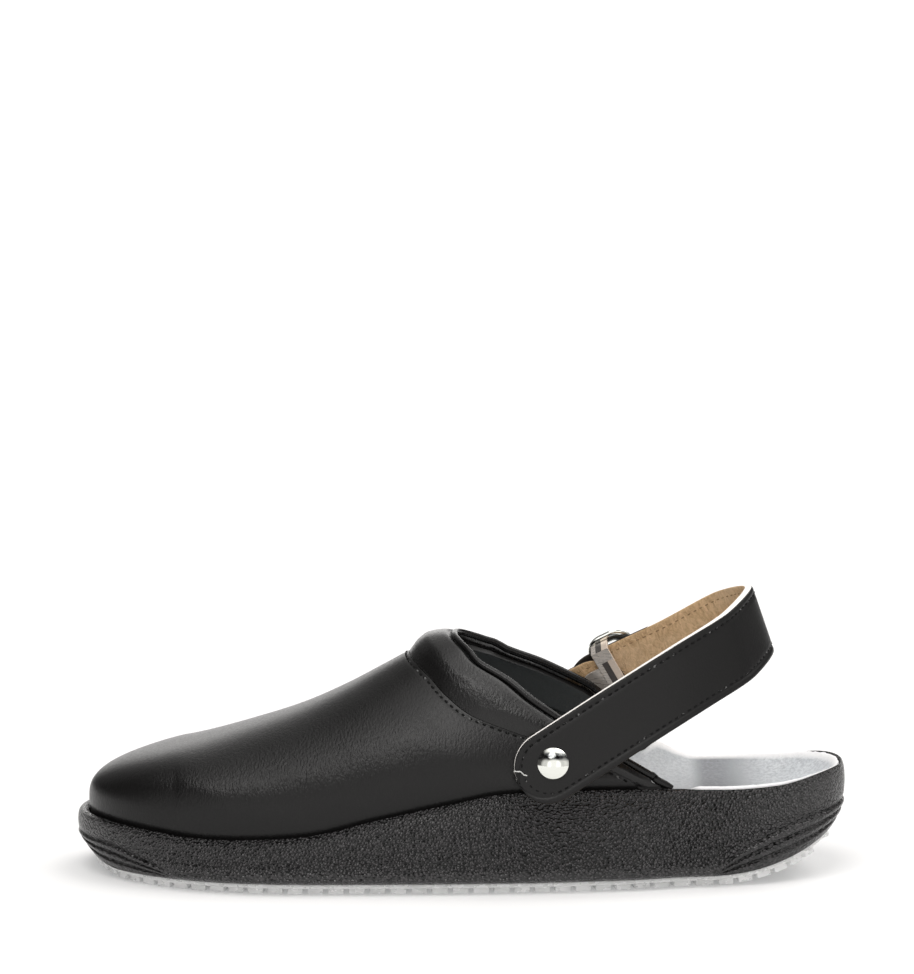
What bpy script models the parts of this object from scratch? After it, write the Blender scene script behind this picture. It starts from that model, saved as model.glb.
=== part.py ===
"""Closed-toe work clog with a padded collar and a riveted heel strap, for the left foot.

The toe points to -X and the heel to +X. The lateral side is -Y, the medial side is +Y, the floor is Z = 0.
Sizes are in millimetres and become metres where a mesh is made. "from_toe" is measured along the sole.
"""

import math

import bmesh
import bpy
import numpy as np
from mathutils import Matrix, Vector

MM = 0.001
LATERAL, MEDIAL = -1, 1
GAP = 0.3


class Table:
    """Rows of named columns, read between the rows along a curve that never overshoots them."""

    def __init__(self, names, *rows, level_ends=False):
        self.columns = dict(zip(names.split(), np.array(rows, float).T))
        self.knots = self.columns[names.split()[0]]
        self.level_ends = level_ends

    def read(self, name, at):
        values = self.columns[name]
        step = np.diff(self.knots)
        rise = np.diff(values) / step
        slope = np.zeros(len(values))
        for i in range(1, len(values) - 1):
            if rise[i - 1] * rise[i] > 0:
                before, after = 2 * step[i] + step[i - 1], step[i] + 2 * step[i - 1]
                slope[i] = (before + after) / (before / rise[i - 1] + after / rise[i])
        if not self.level_ends:
            slope[0], slope[-1] = rise[0], rise[-1]
        at = np.clip(at, self.knots[0], self.knots[-1])
        i = np.clip(np.searchsorted(self.knots, at, side="right") - 1, 0, len(step) - 1)
        t = (at - self.knots[i]) / step[i]
        start = values[i] * (1 + 2 * t) * (1 - t) ** 2 + slope[i] * step[i] * t * (1 - t) ** 2
        end = values[i + 1] * t * t * (3 - 2 * t) - slope[i + 1] * step[i] * t * t * (1 - t)
        return start + end


# Sole outline
SOLE_LENGTH = 285.0
TOE_TIP_Y = 5.0
HEEL_TIP_Y = -1.0
TOE_ROUNDNESS = {LATERAL: 2.0, MEDIAL: 2.3}
HEEL_ROUNDNESS = 2.2
SIDE_EDGE = {
    LATERAL: Table("from_toe half_width",
                   (87, 52), (125, 51.2), (157, 49.8), (203, 44), (235, 36.8), level_ends=True),
    MEDIAL: Table("from_toe half_width",
                  (80, 52), (120, 47.5), (150, 43), (180, 39.5), (235, 34.5), level_ends=True),
}

# Sole heights above the floor: the rim that shows, and the footbed's middle line
RIM = Table("from_toe lateral medial",
            (0, 22.6, 22.6), (20, 21.6, 22), (50, 19.7, 20.5), (85, 21.5, 23), (113, 27.7, 29),
            (141, 33.7, 35.5), (160, 37, 40), (190, 37.7, 43.5), (213, 37.2, 42.5), (219, 37, 40.4),
            (225, 36.7, 37.4), (231, 36.4, 35.8), (238, 36.3, 35.9), (258, 37.2, 36.9), (285, 41.5, 41.5),
            level_ends=True)
BED = Table("from_toe middle",
            (0, 19), (12, 15.7), (40, 13.6), (75, 13), (110, 16.5), (150, 24), (185, 27.5),
            (225, 27), (255, 27.5), (272, 31), (285, 39.9))
BED_POWER = 2.6
RIM_DEPTH = 3.6
HEEL_STEP = 1.6
RIM_WIDTH = 3.9
HEEL_RIM_WIDTH = 1.8
OPEN_HEEL = {LATERAL: (223.0, 230.0), MEDIAL: (211.0, 218.0)}

# Sole underside: level between two rolled-up ends
MIDSOLE_BOTTOM = 4.0
TOE_SPRING, TOE_SPRING_LENGTH = 0.6, 63.0
TOE_ROLL_START, TOE_ROLL_RADIUS = 18.0, 22.0
HEEL_ROLL_START, HEEL_ROLL_RADIUS = 231.0, 92.0

# Ribbed wedges at toe and heel, under a groove that runs into the plain lower edge between them
RIBS = 3
RIB_DEPTH = 1.1
RIB_FADE = 4.0
PLAIN_FOOT = 1.8
GROOVE = Table("from_toe height",
               (0, 14.7), (12, 14.4), (20, 12.3), (30, 8.9), (40, 5.8), (235, 5.8), (240, 9.6),
               (246, 13.8), (263, 22), (285, 28))
TUCK = Table("from_toe bottom outsole",
             (0, 3.5, 6.4), (40, 2.4, 4), (245, 2.4, 4), (285, 4, 5.6), level_ends=True)
WALL = Table("share inset", (0.1, 0.4), (0.5, 0), (0.8, 0.3), (0.94, 1.1))
RIM_TOP_INSET, HEEL_RIM_TOP_INSET = 2.6, 1.3
RIM_ROUND = Table("open drop", (0, 0.7), (1, 0.5))
RIM_SIDE_SLOPE = 0.1
TUCK_CURVE = 1.6
SOLE_STATIONS = 40

# Outsole plate and lugs
OUTSOLE_PLATE = 1.6
LUG_HEIGHT = 2.1
LUG_MARGIN = 0.9
LUG_BAND = 12.0
LUG_STATIONS = 44

# Insole
INSOLE_THICKNESS = 2.6
INSOLE_INSET, HEEL_INSOLE_INSET = 7.6, 2.2
INSOLE_EDGE = Table("rise step", (0, 0), (0.8, 0), (1, 0.7))
INSOLE_ACROSS = 6

# Upper: half-sections from the belt line above the rim up to the spine
UPPER_WALL = 2.0
UPPER_BASE_INSET, BELT_INSET = 4.5, 4.2
BASE_BELOW_RIM, BELT_ABOVE_RIM = 3.0, 3.0
BELT_SHARE = 0.2
WING_END = {LATERAL: 221.0, MEDIAL: 216.0}
SPINE_Y = 4.0
SPINE_SLOPE = 0.265
SPINE = Table("from_toe height",
              (37.5, 46.8), (46.5, 48.9), (65, 54.3), (84, 60.8), (102.5, 69.4), (114, 75.7),
              (124, 81), (132, 84), (141.5, 86.2))
SECTIONS = Table("share spine full_lateral full_medial",
                 (0, 37.5, 3.4, 3.4), (0.2, 37.5, 3.2, 3.2), (0.33, 42, 2.8, 2.8),
                 (0.5, 64, 2.5, 2.6), (0.7, 97, 2.3, 2.5), (0.9, 124, 2.2, 2.5), (1, 141.5, 2.2, 2.6))

# Collar panel between the seam and the throat edge
SEAM = Table("height share",
             (0, 0.955), (0.2, 0.935), (0.32, 0.918), (0.42, 0.884), (0.52, 0.866), (0.62, 0.874),
             (0.74, 0.889), (1, 0.897), level_ends=True)
THROAT = Table("height lateral medial",
               (0, 1, 0.966), (0.1, 0.987, 0.966), (0.2, 0.966, 0.982), (0.3, 0.968, 1.017), (0.4, 0.97, 1.052),
               (0.5, 0.972, 1.054), (0.6, 0.979, 1.018), (0.7, 0.972, 0.994), (0.8, 0.981, 0.988),
               (1, 0.985, 0.985), level_ends=True)
SEAM_COLUMN, FIRST_BENT_COLUMN = 0.9, 0.66
SEAM_STEP = 1.6
COLLAR_SKIN, COLLAR_GAP = 1.4, 0.45
COLLAR_PAD, WING_PAD = 4.0, 1.0
COLLAR_BULGE = Table("across share", (0, 0), (0.2, 0.72), (0.55, 1), (0.85, 0.9), (1, 0.7))
COLLAR_ACROSS = 5
BINDING_RADIUS = 1.25

# Heel strap: its middle line, tilt and section
STRAP_WIDTH, STRAP_THICKNESS = 26.0, 3.0
STRAP_END_POWER = {1: 2.0, -1: 2.3}
STRAP_LEAN = math.radians(19)
STRAP_CHAMFER = 0.5
STRAP_MIDDLE = np.array([60, 0, 0])
STRAP_ROUTE = Table("mark x y z",
                    (0, 21.3, -47.9, 40.2), (1, 33.6, -46.8, 48), (2, 60, -42.3, 64.4), (3, 84, -34, 78.2),
                    (4, 102, -21.5, 87.8), (5, 110.5, 0, 93.8), (6, 102, 21.5, 89.3), (7, 84, 33, 78.6),
                    (8, 60, 38.5, 66.6), (9, 34, 41.5, 53), (10, 23, 42.5, 47))
STRAP_TIP_MARK = 8.62
STRAP_STATIONS = 36
LATERAL_RIVET_MARK, MEDIAL_RIVET_MARK = 1.0, 9.0

# Medial tab that carries the buckle, inside the strap's end
TAB_WIDTH, TAB_THICKNESS = 25.0, 2.6
TAB_MARKS = (7.92, 9.94)
TAB_STATIONS = 8
TAB_LIFT = -(STRAP_THICKNESS / 2 + GAP + TAB_THICKNESS / 2)

# Buckle: a wire loop over the strap, and a plate that clasps tab and strap
BUCKLE_MARK = 8.04
LOOP_LENGTH, LOOP_WIDTH, LOOP_CORNER, LOOP_WIRE = 13.0, 29.4, 4.5, 1.3
LOOP_TO_HEEL = 3.0
PLATE_LENGTH, PLATE_THICKNESS, PLATE_EAR = 7.0, 1.2, 1.5
TONGUE_LENGTH, TONGUE_WIDTH, TONGUE_THICKNESS = 11.0, 16.0, 0.8

# Rivets
RIVET_HEAD, RIVET_DOME = 5.65, 2.6
RIVET_SHANK, RIVET_HOLE = 2.0, 2.4
RIVET_WASHER, RIVET_WASHER_THICKNESS = 3.6, 1.0
LATERAL_RIVET_REACH, MEDIAL_RIVET_REACH = 10.2, 9.0
RIVET_SIDES = 16
DRILL_LENGTH = 60.0


# Sole outline functions

def smoothstep(low, high, at):
    t = np.clip((at - low) / (high - low), 0, 1)
    return t * t * (3 - 2 * t)


def cap(share, power):
    """Half-width of a rounded end, from 0 at the tip to 1 at its full width."""
    return (1 - (1 - np.clip(share, 0, 1)) ** power) ** (1 / power)


def edge_half(side, from_toe):
    """Distance of the sole's outermost edge from the X axis, on one side."""
    table = SIDE_EDGE[side]
    ball, heel = table.knots[0], table.knots[-1]
    half = table.read("half_width", from_toe)
    toe_tip, heel_tip = side * TOE_TIP_Y, side * HEEL_TIP_Y
    toe = toe_tip + (half - toe_tip) * cap(from_toe / ball, TOE_ROUNDNESS[side])
    back = heel_tip + (half - heel_tip) * cap((SOLE_LENGTH - from_toe) / (SOLE_LENGTH - heel), HEEL_ROUNDNESS)
    return np.where(from_toe < ball, toe, np.where(from_toe > heel, back, half))


class Edge:
    """One side of the sole outline, measured along its length from the toe tip."""

    def __init__(self, side):
        self.side = side
        turn = np.linspace(0, math.pi, 3001)
        self.from_toe = SOLE_LENGTH / 2 * (1 - np.cos(turn))
        self.x = self.from_toe - SOLE_LENGTH / 2
        self.y = side * edge_half(side, self.from_toe)
        self.arc = np.concatenate(([0], np.cumsum(np.hypot(np.diff(self.x), np.diff(self.y)))))
        along_x, along_y = np.gradient(self.x), np.gradient(self.y)
        length = np.hypot(along_x, along_y)
        self.normal_x, self.normal_y = -side * along_y / length, side * along_x / length

    def at(self, arc, inset=0.0):
        """Point at a length along the edge, moved inwards."""
        x = np.interp(arc, self.arc, self.x) - inset * np.interp(arc, self.arc, self.normal_x)
        y = np.interp(arc, self.arc, self.y) - inset * np.interp(arc, self.arc, self.normal_y)
        return x, y

    def arc_at(self, from_toe):
        return np.interp(from_toe, self.from_toe, self.arc)


EDGES = {side: Edge(side) for side in (LATERAL, MEDIAL)}


def rim_z(side, from_toe):
    return RIM.read("lateral" if side == LATERAL else "medial", from_toe)


def bottom_z(from_toe):
    """Underside of the midsole: level, with a slight toe spring and both ends rolled up."""
    spring = TOE_SPRING * np.clip(1 - from_toe / TOE_SPRING_LENGTH, 0, 1) ** 2
    toe = np.clip(TOE_ROLL_START - from_toe, 0, None)
    heel = np.clip(from_toe - HEEL_ROLL_START, 0, None)
    toe_roll = TOE_ROLL_RADIUS - np.sqrt(TOE_ROLL_RADIUS ** 2 - toe ** 2)
    heel_roll = HEEL_ROLL_RADIUS - np.sqrt(HEEL_ROLL_RADIUS ** 2 - heel ** 2)
    return MIDSOLE_BOTTOM + spring + toe_roll + heel_roll


def open_heel(side, from_toe):
    """0 where the upper stands inside the rim, 1 at the open heel."""
    return smoothstep(*OPEN_HEEL[side], from_toe)


def bed_z(x, y):
    """Top of the midsole under the insole, a shallow trough with raised sides."""
    from_toe = x + SOLE_LENGTH / 2
    edge_y, edge_z = {}, {}
    for side in (LATERAL, MEDIAL):
        share = open_heel(side, from_toe)
        width = RIM_WIDTH + (HEEL_RIM_WIDTH - RIM_WIDTH) * share
        edge_y[side] = side * (edge_half(side, from_toe) - width)
        edge_z[side] = rim_z(side, from_toe) - RIM_DEPTH - (HEEL_STEP - RIM_DEPTH) * share
    low, high = edge_y[LATERAL], edge_y[MEDIAL]
    across = np.clip((2 * y - low - high) / np.maximum(high - low, 2), -1, 1)
    side_z = np.where(across < 0, edge_z[LATERAL], edge_z[MEDIAL])
    middle = BED.read("middle", from_toe)
    return middle + (side_z - middle) * np.abs(across) ** BED_POWER


class Outline:
    """Columns all round the sole: down the lateral side from toe to heel, then back up the medial side."""

    def __init__(self, stations):
        self.stations = stations
        shares = np.linspace(0, 1, stations + 1)
        self.parts = [(EDGES[LATERAL], shares), (EDGES[MEDIAL], shares[-2:0:-1])]
        self.from_toe = self.join(lambda edge, arc: np.interp(arc, edge.arc, edge.from_toe))
        self.rim = self.join(lambda edge, arc: rim_z(edge.side, np.interp(arc, edge.arc, edge.from_toe)))
        self.heel = self.join(lambda edge, arc: open_heel(edge.side, np.interp(arc, edge.arc, edge.from_toe)))

    def join(self, function):
        return np.concatenate([function(edge, shares * edge.arc[-1]) for edge, shares in self.parts])

    def ring(self, inset):
        """X and Y of every column, moved inwards by a distance that may differ between columns."""
        count = self.stations + 1
        inset = np.broadcast_to(inset, self.from_toe.shape)
        insets = (inset[:count], inset[count:])
        sides = [edge.at(s * edge.arc[-1], i) for (edge, s), i in zip(self.parts, insets)]
        return np.concatenate([s[0] for s in sides]), np.concatenate([s[1] for s in sides])


# Mesh helpers

class Skin:
    """Points and faces of one closed body."""

    def __init__(self):
        self.points = []
        self.faces = []

    def add(self, x, y, z):
        start = len(self.points)
        self.points.extend(zip(*np.broadcast_arrays(x, y, z)))
        return list(range(start, len(self.points)))

    def band(self, lower, upper, closed=True):
        count = len(lower)
        for i in range(count if closed else count - 1):
            j = (i + 1) % count
            self.faces.append((lower[i], lower[j], upper[j], upper[i]))

    def span(self, ring, across, height):
        """Close a ring with rows from its lateral to its medial columns. Returns the rows."""
        half = len(ring) // 2
        rows = [[ring[0]]]
        for i in range(1, half):
            a, b = np.array(self.points[ring[i]]), np.array(self.points[ring[-i]])
            inner = []
            for t in np.linspace(0, 1, across + 1)[1:-1]:
                x, y = (a + (b - a) * t)[:2]
                inner += self.add([x], [y], [float(height(x, y))])
            rows.append([ring[i], *inner, ring[-i]])
        rows.append([ring[half]])
        for first, second in zip(rows, rows[1:]):
            for i in range(across):
                corners = [first[min(i, len(first) - 1)], first[min(i + 1, len(first) - 1)],
                           second[min(i + 1, len(second) - 1)], second[min(i, len(second) - 1)]]
                self.faces.append(tuple(dict.fromkeys(corners)))
        return rows

    def build(self, name, finish):
        mesh = bpy.data.meshes.new(name)
        mesh.from_pydata([tuple(float(c) * MM for c in p) for p in self.points], [], self.faces)
        return add_object(name, mesh, finish)


def add_object(name, mesh, finish, sharp_angle=35):
    work = bmesh.new()
    work.from_mesh(mesh)
    bmesh.ops.remove_doubles(work, verts=work.verts, dist=1e-7)
    bmesh.ops.recalc_face_normals(work, faces=work.faces)
    work.to_mesh(mesh)
    work.free()
    mesh.shade_smooth()
    mesh.set_sharp_from_angle(angle=math.radians(sharp_angle))
    mesh.materials.append(finish)
    part = bpy.data.objects.new(name, mesh)
    bpy.context.collection.objects.link(part)
    return part


def material(name, colour, roughness, metallic=0.0):
    finish = bpy.data.materials.new(name)
    finish.use_nodes = True
    shader = finish.node_tree.nodes["Principled BSDF"]
    shader.inputs["Base Color"].default_value = (*colour, 1)
    shader.inputs["Roughness"].default_value = roughness
    shader.inputs["Metallic"].default_value = metallic
    return finish


def shell(name, outer, inner, finish):
    """Closed body between two grids of points of the same shape."""
    skin = Skin()
    top = [skin.add(*row.T) for row in outer]
    low = [skin.add(*row.T) for row in inner]
    for grid in (top, low):
        for a, b in zip(grid, grid[1:]):
            skin.band(a, b, closed=False)
    for a, b in ((top[0], low[0]), (top[-1], low[-1])):
        skin.band(a, b, closed=False)
    for end in (0, -1):
        skin.band([row[end] for row in top], [row[end] for row in low], closed=False)
    return skin.build(name, finish)


# Sole pieces

def build_midsole(finish):
    outline = Outline(SOLE_STATIONS)
    from_toe, rim = outline.from_toe, outline.rim
    tuck = TUCK.read("bottom", from_toe)
    x, y = outline.ring(tuck)
    foot = bottom_z(x + SOLE_LENGTH / 2)
    groove = np.maximum(GROOVE.read("height", from_toe), foot + PLAIN_FOOT)
    rib = RIB_DEPTH * np.clip((groove - foot - PLAIN_FOOT) / RIB_FADE, 0, 1)

    skin = Skin()
    rings = [skin.add(x, y, foot)]
    rows = 2 * RIBS
    for row in range(1, rows + 1):
        share = row / rows
        valley = rib if row % 2 == 0 else 0
        x, y = outline.ring(tuck * (1 - share) ** TUCK_CURVE + valley)
        rings.append(skin.add(x, y, foot + (groove - foot) * share))
    for share, inset in zip(*WALL.columns.values()):
        x, y = outline.ring(inset)
        rings.append(skin.add(x, y, groove + (rim - groove) * share))

    share = outline.heel
    rim_width = RIM_WIDTH + (HEEL_RIM_WIDTH - RIM_WIDTH) * share
    top_inset = RIM_TOP_INSET + (HEEL_RIM_TOP_INSET - RIM_TOP_INSET) * share
    rings.append(skin.add(*outline.ring(top_inset), rim))
    rings.append(skin.add(*outline.ring(rim_width - RIM_SIDE_SLOPE), rim - RIM_ROUND.read("drop", share)))
    for inset in (rim_width, insole_inset(share) - GAP / 2):
        x, y = outline.ring(inset)
        rings.append(skin.add(x, y, bed_z(x, y)))

    for lower, upper in zip(rings, rings[1:]):
        skin.band(lower, upper)
    skin.span(rings[0], 1, lambda x, y: 0)
    skin.span(rings[-1], INSOLE_ACROSS, bed_z)
    return skin.build("midsole", finish)


def insole_inset(heel):
    return INSOLE_INSET + (HEEL_INSOLE_INSET - INSOLE_INSET) * heel


def build_insole(finish):
    outline = Outline(SOLE_STATIONS)
    inset = insole_inset(outline.heel)
    skin = Skin()
    rings = []
    for rise, step in zip(*INSOLE_EDGE.columns.values()):
        x, y = outline.ring(inset + step)
        rings.append(skin.add(x, y, bed_z(x, y) + GAP + INSOLE_THICKNESS * rise))
    for lower, upper in zip(rings, rings[1:]):
        skin.band(lower, upper)
    skin.span(rings[0], INSOLE_ACROSS, lambda x, y: bed_z(x, y) + GAP)
    skin.span(rings[-1], INSOLE_ACROSS, lambda x, y: bed_z(x, y) + GAP + INSOLE_THICKNESS)
    return skin.build("insole", finish)


def build_outsole(finish):
    """Plate under the midsole with a row of edge lugs all round and cross bars between them."""
    outline = Outline(LUG_STATIONS)
    plate_top = lambda x: bottom_z(x + SOLE_LENGTH / 2) - GAP
    inset = TUCK.read("outsole", outline.from_toe)
    skin = Skin()
    x, y = outline.ring(inset)
    top = skin.add(x, y, plate_top(x))
    low = skin.add(x, y, plate_top(x) - OUTSOLE_PLATE)
    skin.band(top, low)
    skin.span(top, 1, lambda x, y: 0)
    x, y = outline.ring(inset + LUG_BAND)
    inner = skin.add(x, y, plate_top(x) - OUTSOLE_PLATE)
    first_lug = len(skin.faces)
    skin.band(low, inner)
    skin.span(inner, 1, lambda x, y: 0)
    part = skin.build("outsole", finish)

    work = bmesh.new()
    work.from_mesh(part.data)
    work.faces.ensure_lookup_table()
    wide = lambda face: min(edge.calc_length() for edge in face.edges) > 4 * LUG_MARGIN * MM
    lugs = [f for f in list(work.faces)[first_lug:] if len(f.verts) == 4 and wide(f)]
    bmesh.ops.inset_individual(work, faces=lugs, thickness=LUG_MARGIN * MM, use_even_offset=True)
    raised = bmesh.ops.extrude_discrete_faces(work, faces=lugs)["faces"]
    for face in raised:
        bmesh.ops.translate(work, verts=face.verts, vec=face.normal * LUG_HEIGHT * MM)
    work.to_mesh(part.data)
    work.free()
    return part


# Upper and collar

def upper_point(side, share, height):
    """Point of the upper's outer face. share runs along the base from toe to wing, height up to the spine."""
    edge = EDGES[side]
    arc = share * edge.arc_at(WING_END[side])
    low = np.clip(height / BELT_SHARE, 0, 1)
    base_x, base_y = edge.at(arc, UPPER_BASE_INSET + (BELT_INSET - UPPER_BASE_INSET) * low)
    rim = rim_z(side, np.minimum(np.interp(arc, edge.arc, edge.from_toe), WING_END[side]))
    base_z = rim - BASE_BELOW_RIM + (BASE_BELOW_RIM + BELT_ABOVE_RIM) * low

    fullness = SECTIONS.read("full_lateral" if side == LATERAL else "full_medial", share)
    spine = SECTIONS.read("spine", share)
    spine_x, spine_z = spine - SOLE_LENGTH / 2, SPINE.read("height", spine)
    turn = np.clip((height - BELT_SHARE) / (1 - BELT_SHARE), 0, 1) * math.pi / 2
    out = np.maximum(np.cos(turn), 0) ** (2 / fullness)
    drop = 1 - np.sin(turn) ** (2 / fullness)
    ahead, behind = np.minimum(base_x - spine_x, 0), np.maximum(base_x - spine_x, 0)
    fall = spine_z + SPINE_SLOPE * ahead - base_z
    x = spine_x + ahead * out + behind * drop
    y = SPINE_Y + (base_y - SPINE_Y) * out
    z = spine_z + SPINE_SLOPE * ahead * out - fall * drop
    return np.stack(np.broadcast_arrays(x, y, z), axis=-1)


def upper_frame(side, share, height):
    """Outward normal of the upper and its direction towards the throat."""
    small = 1e-4
    share, height = np.clip(share, small, 1 - small), np.clip(height, small, 0.98)
    along = upper_point(side, share + small, height) - upper_point(side, share - small, height)
    up = upper_point(side, share, height + small) - upper_point(side, share, height - small)
    normal = side * np.cross(up, along)
    unit = lambda v: v / np.linalg.norm(v, axis=-1, keepdims=True)
    return unit(normal), unit(along)


def follow_seam(side, column, height):
    """Share at which a column of the upper stands, bent to run along the seam and along the throat edge."""
    seam = SEAM.read("share", height)
    throat = THROAT.read("lateral" if side == LATERAL else "medial", height)
    ahead = column + (seam - SEAM_COLUMN) * smoothstep(FIRST_BENT_COLUMN, SEAM_COLUMN, column)
    behind = seam + (column - SEAM_COLUMN) / (1 - SEAM_COLUMN) * (throat - seam)
    return np.where(column < SEAM_COLUMN, ahead, behind)


def arch(column, heights, lift):
    """Row of points across the upper along one column, lateral base to medial base, lifted off its face."""
    rows = []
    for side in (LATERAL, MEDIAL):
        share = follow_seam(side, column, heights)
        normal = upper_frame(side, share, heights)[0]
        rows.append(upper_point(side, share, heights) + normal * np.reshape(lift, (-1, 1)))
    crest = (rows[0][-1] + rows[1][-1]) / 2
    return np.concatenate((rows[0][:-1], [crest], rows[1][-2::-1]))


HEIGHTS = np.concatenate(([0, 0.12], np.linspace(BELT_SHARE, 1, 9)))
COLLAR_COLUMNS = np.linspace(SEAM_COLUMN + 0.006, 1, COLLAR_ACROSS + 1)
SEAM_COLUMNS = [SEAM_COLUMN - 0.012, SEAM_COLUMN + 0.002]
COLUMNS = np.concatenate((np.linspace(0, 0.86, 20), SEAM_COLUMNS, COLLAR_COLUMNS[1:]))


def build_upper(finish):
    """Vamp and wings as one wall, stepped in behind the seam where the collar lies on it."""
    skin = Skin()
    columns = []
    for side in (LATERAL, MEDIAL):
        order = COLUMNS[::-1] if side == LATERAL else COLUMNS[1:]
        for column in order:
            step = SEAM_STEP * (column > SEAM_COLUMN) * np.clip(HEIGHTS / BELT_SHARE, 0, 1)
            share = follow_seam(side, column, HEIGHTS)
            points = upper_point(side, share, HEIGHTS)
            points = points - upper_frame(side, share, HEIGHTS)[0] * step[:, None]
            points[-1, 1] = SPINE_Y
            columns.append(skin.add(*points.T))
    for a, b in zip(columns, columns[1:]):
        skin.band(a, b, closed=False)
    part = skin.build("upper", finish)
    wall = part.modifiers.new("wall", "SOLIDIFY")
    wall.thickness = UPPER_WALL * MM
    wall.offset = -1
    wall.use_even_offset = True
    return part


def collar_lift(across, heights):
    """Height of the collar's outer face over the upper's face, at a place between seam and throat edge."""
    pad = WING_PAD + (COLLAR_PAD - WING_PAD) * smoothstep(0.25, 0.8, heights)
    return COLLAR_SKIN - SEAM_STEP + GAP + pad * COLLAR_BULGE.read("share", across)


COLLAR_HEIGHTS = HEIGHTS[2:]


def build_collar(finish):
    places = np.linspace(0, 1, COLLAR_ACROSS + 1)
    outer = [arch(c, COLLAR_HEIGHTS, collar_lift(p, COLLAR_HEIGHTS)) for c, p in zip(COLLAR_COLUMNS, places)]
    inner = [arch(c, COLLAR_HEIGHTS, COLLAR_GAP - SEAM_STEP) for c in COLLAR_COLUMNS]
    return shell("collar", outer, inner, finish)


def binding_path():
    """Middle of the rolled edge just past the throat edge, level with the collar's outer face."""
    heights = np.concatenate((np.linspace(BELT_SHARE, 0.96, 16), [1.0]))
    lift = collar_lift(1.0, heights) - BINDING_RADIUS
    middle = arch(1.0, heights, lift)
    along = np.gradient(middle, axis=0)
    along /= np.linalg.norm(along, axis=1, keepdims=True)
    away = middle - arch(0.99, heights, lift)
    away -= along * np.sum(away * along, axis=1, keepdims=True)
    away /= np.linalg.norm(away, axis=1, keepdims=True)
    return middle + away * (BINDING_RADIUS + 2 * GAP)


def build_binding(finish):
    curve = bpy.data.curves.new("binding", "CURVE")
    curve.dimensions = "3D"
    curve.bevel_depth = BINDING_RADIUS * MM
    curve.bevel_resolution = 2
    curve.use_fill_caps = True
    spline = curve.splines.new("POLY")
    path = binding_path()
    spline.points.add(len(path) - 1)
    for point, position in zip(spline.points, path):
        point.co = (*(position * MM), 1)
    curve.materials.append(finish)
    part = bpy.data.objects.new("binding", curve)
    bpy.context.collection.objects.link(part)
    return part


# Heel strap, tab, buckle and rivets

def strap_point(mark):
    return np.array([STRAP_ROUTE.read(axis, mark) for axis in "xyz"])


def strap_frame(mark):
    """Middle of the strap, its direction along, its direction up across the width, and its outward normal."""
    small = 1e-3
    along = strap_point(mark + small) - strap_point(mark - small)
    along /= np.linalg.norm(along)
    level = np.array([along[1], -along[0], 0])
    level /= np.linalg.norm(level)
    upright = np.cross(level, along)
    upright *= np.sign(upright[2])
    out = level * np.sign(np.dot(level, strap_point(mark) - STRAP_MIDDLE))
    up = upright * math.cos(STRAP_LEAN) - out * math.sin(STRAP_LEAN)
    normal = out * math.cos(STRAP_LEAN) + upright * math.sin(STRAP_LEAN)
    return strap_point(mark), along, up, normal


def build_band(name, start, end, width, thickness, lift, finish, stations):
    """Strap along the route between two marks, with round ends, lifted off the route along its normal."""
    marks = np.linspace(start, end, 400)
    places = np.array([strap_point(m) for m in marks])
    arc = np.concatenate(([0], np.cumsum(np.linalg.norm(np.diff(places, axis=0), axis=1))))
    radius, length = width / 2, arc[-1]
    round_end = radius * (1 - np.cos(np.linspace(0.25, math.pi / 2, 7)))
    middle = np.linspace(radius, length - radius, stations)[1:-1]
    flat, edge = thickness / 2, thickness / 2 - STRAP_CHAMFER
    skin = Skin()
    rings = []
    for run in np.concatenate((round_end, middle, (length - round_end)[::-1])):
        reach = min(run, length - run, radius)
        top, low = (side * radius * cap(reach / radius, power) for side, power in STRAP_END_POWER.items())
        top_face, low_face = top - STRAP_CHAMFER, low + STRAP_CHAMFER
        centre, _, up, normal = strap_frame(np.interp(run, arc, marks))
        across = (top, top, top_face, low_face, low, low, low_face, top_face)
        depth = (-edge, edge, flat, flat, edge, -edge, -flat, -flat)
        points = np.array([centre + up * a + normal * (lift + d) for a, d in zip(across, depth)])
        rings.append(skin.add(*points.T))
    for a, b in zip(rings, rings[1:]):
        skin.band(a, b)
    skin.faces += [tuple(rings[0]), tuple(rings[-1])]
    return skin.build(name, finish)


def place(mark):
    """Matrix of a fitting on the strap: X along it, Y up across it, Z outwards, in metres."""
    centre, _, up, normal = strap_frame(mark)
    axes = np.column_stack((np.cross(up, normal), up, normal))
    return Matrix.Translation(Vector(centre * MM)) @ Matrix(axes.tolist()).to_4x4()


def build_rivet(name, mark, lift, reach, finish):
    """Domed head over the strap, a shank through it and the wing, and a washer inside."""
    dome = [(RIVET_HEAD * math.cos(a), RIVET_DOME * math.sin(a)) for a in np.linspace(1.3, 0, 5)]
    shank = [(RIVET_SHANK, 0), (RIVET_SHANK, -reach)]
    washer = [(RIVET_WASHER, -reach), (RIVET_WASHER, -reach - RIVET_WASHER_THICKNESS)]
    turn = np.linspace(0, 2 * math.pi, RIVET_SIDES, endpoint=False)
    skin = Skin()
    rings = [skin.add(r * np.cos(turn), r * np.sin(turn), lift + z) for r, z in dome + shank + washer]
    for a, b in zip(rings, rings[1:]):
        skin.band(a, b)
    skin.faces += [tuple(rings[0]), tuple(rings[-1])]
    part = skin.build(name, finish)
    part.matrix_world = place(mark)
    return part


def drill(mark, parts):
    """Hole for a rivet's shank through each part."""
    bpy.ops.mesh.primitive_cylinder_add(vertices=12, radius=RIVET_HOLE * MM, depth=DRILL_LENGTH * MM)
    cutter = bpy.context.object
    cutter.name = "drill"
    cutter.matrix_world = place(mark)
    cutter.hide_render = True
    cutter.display_type = "WIRE"
    for part in parts:
        hole = part.modifiers.new("rivet hole", "BOOLEAN")
        hole.object = cutter
        hole.operation = "DIFFERENCE"


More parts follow.
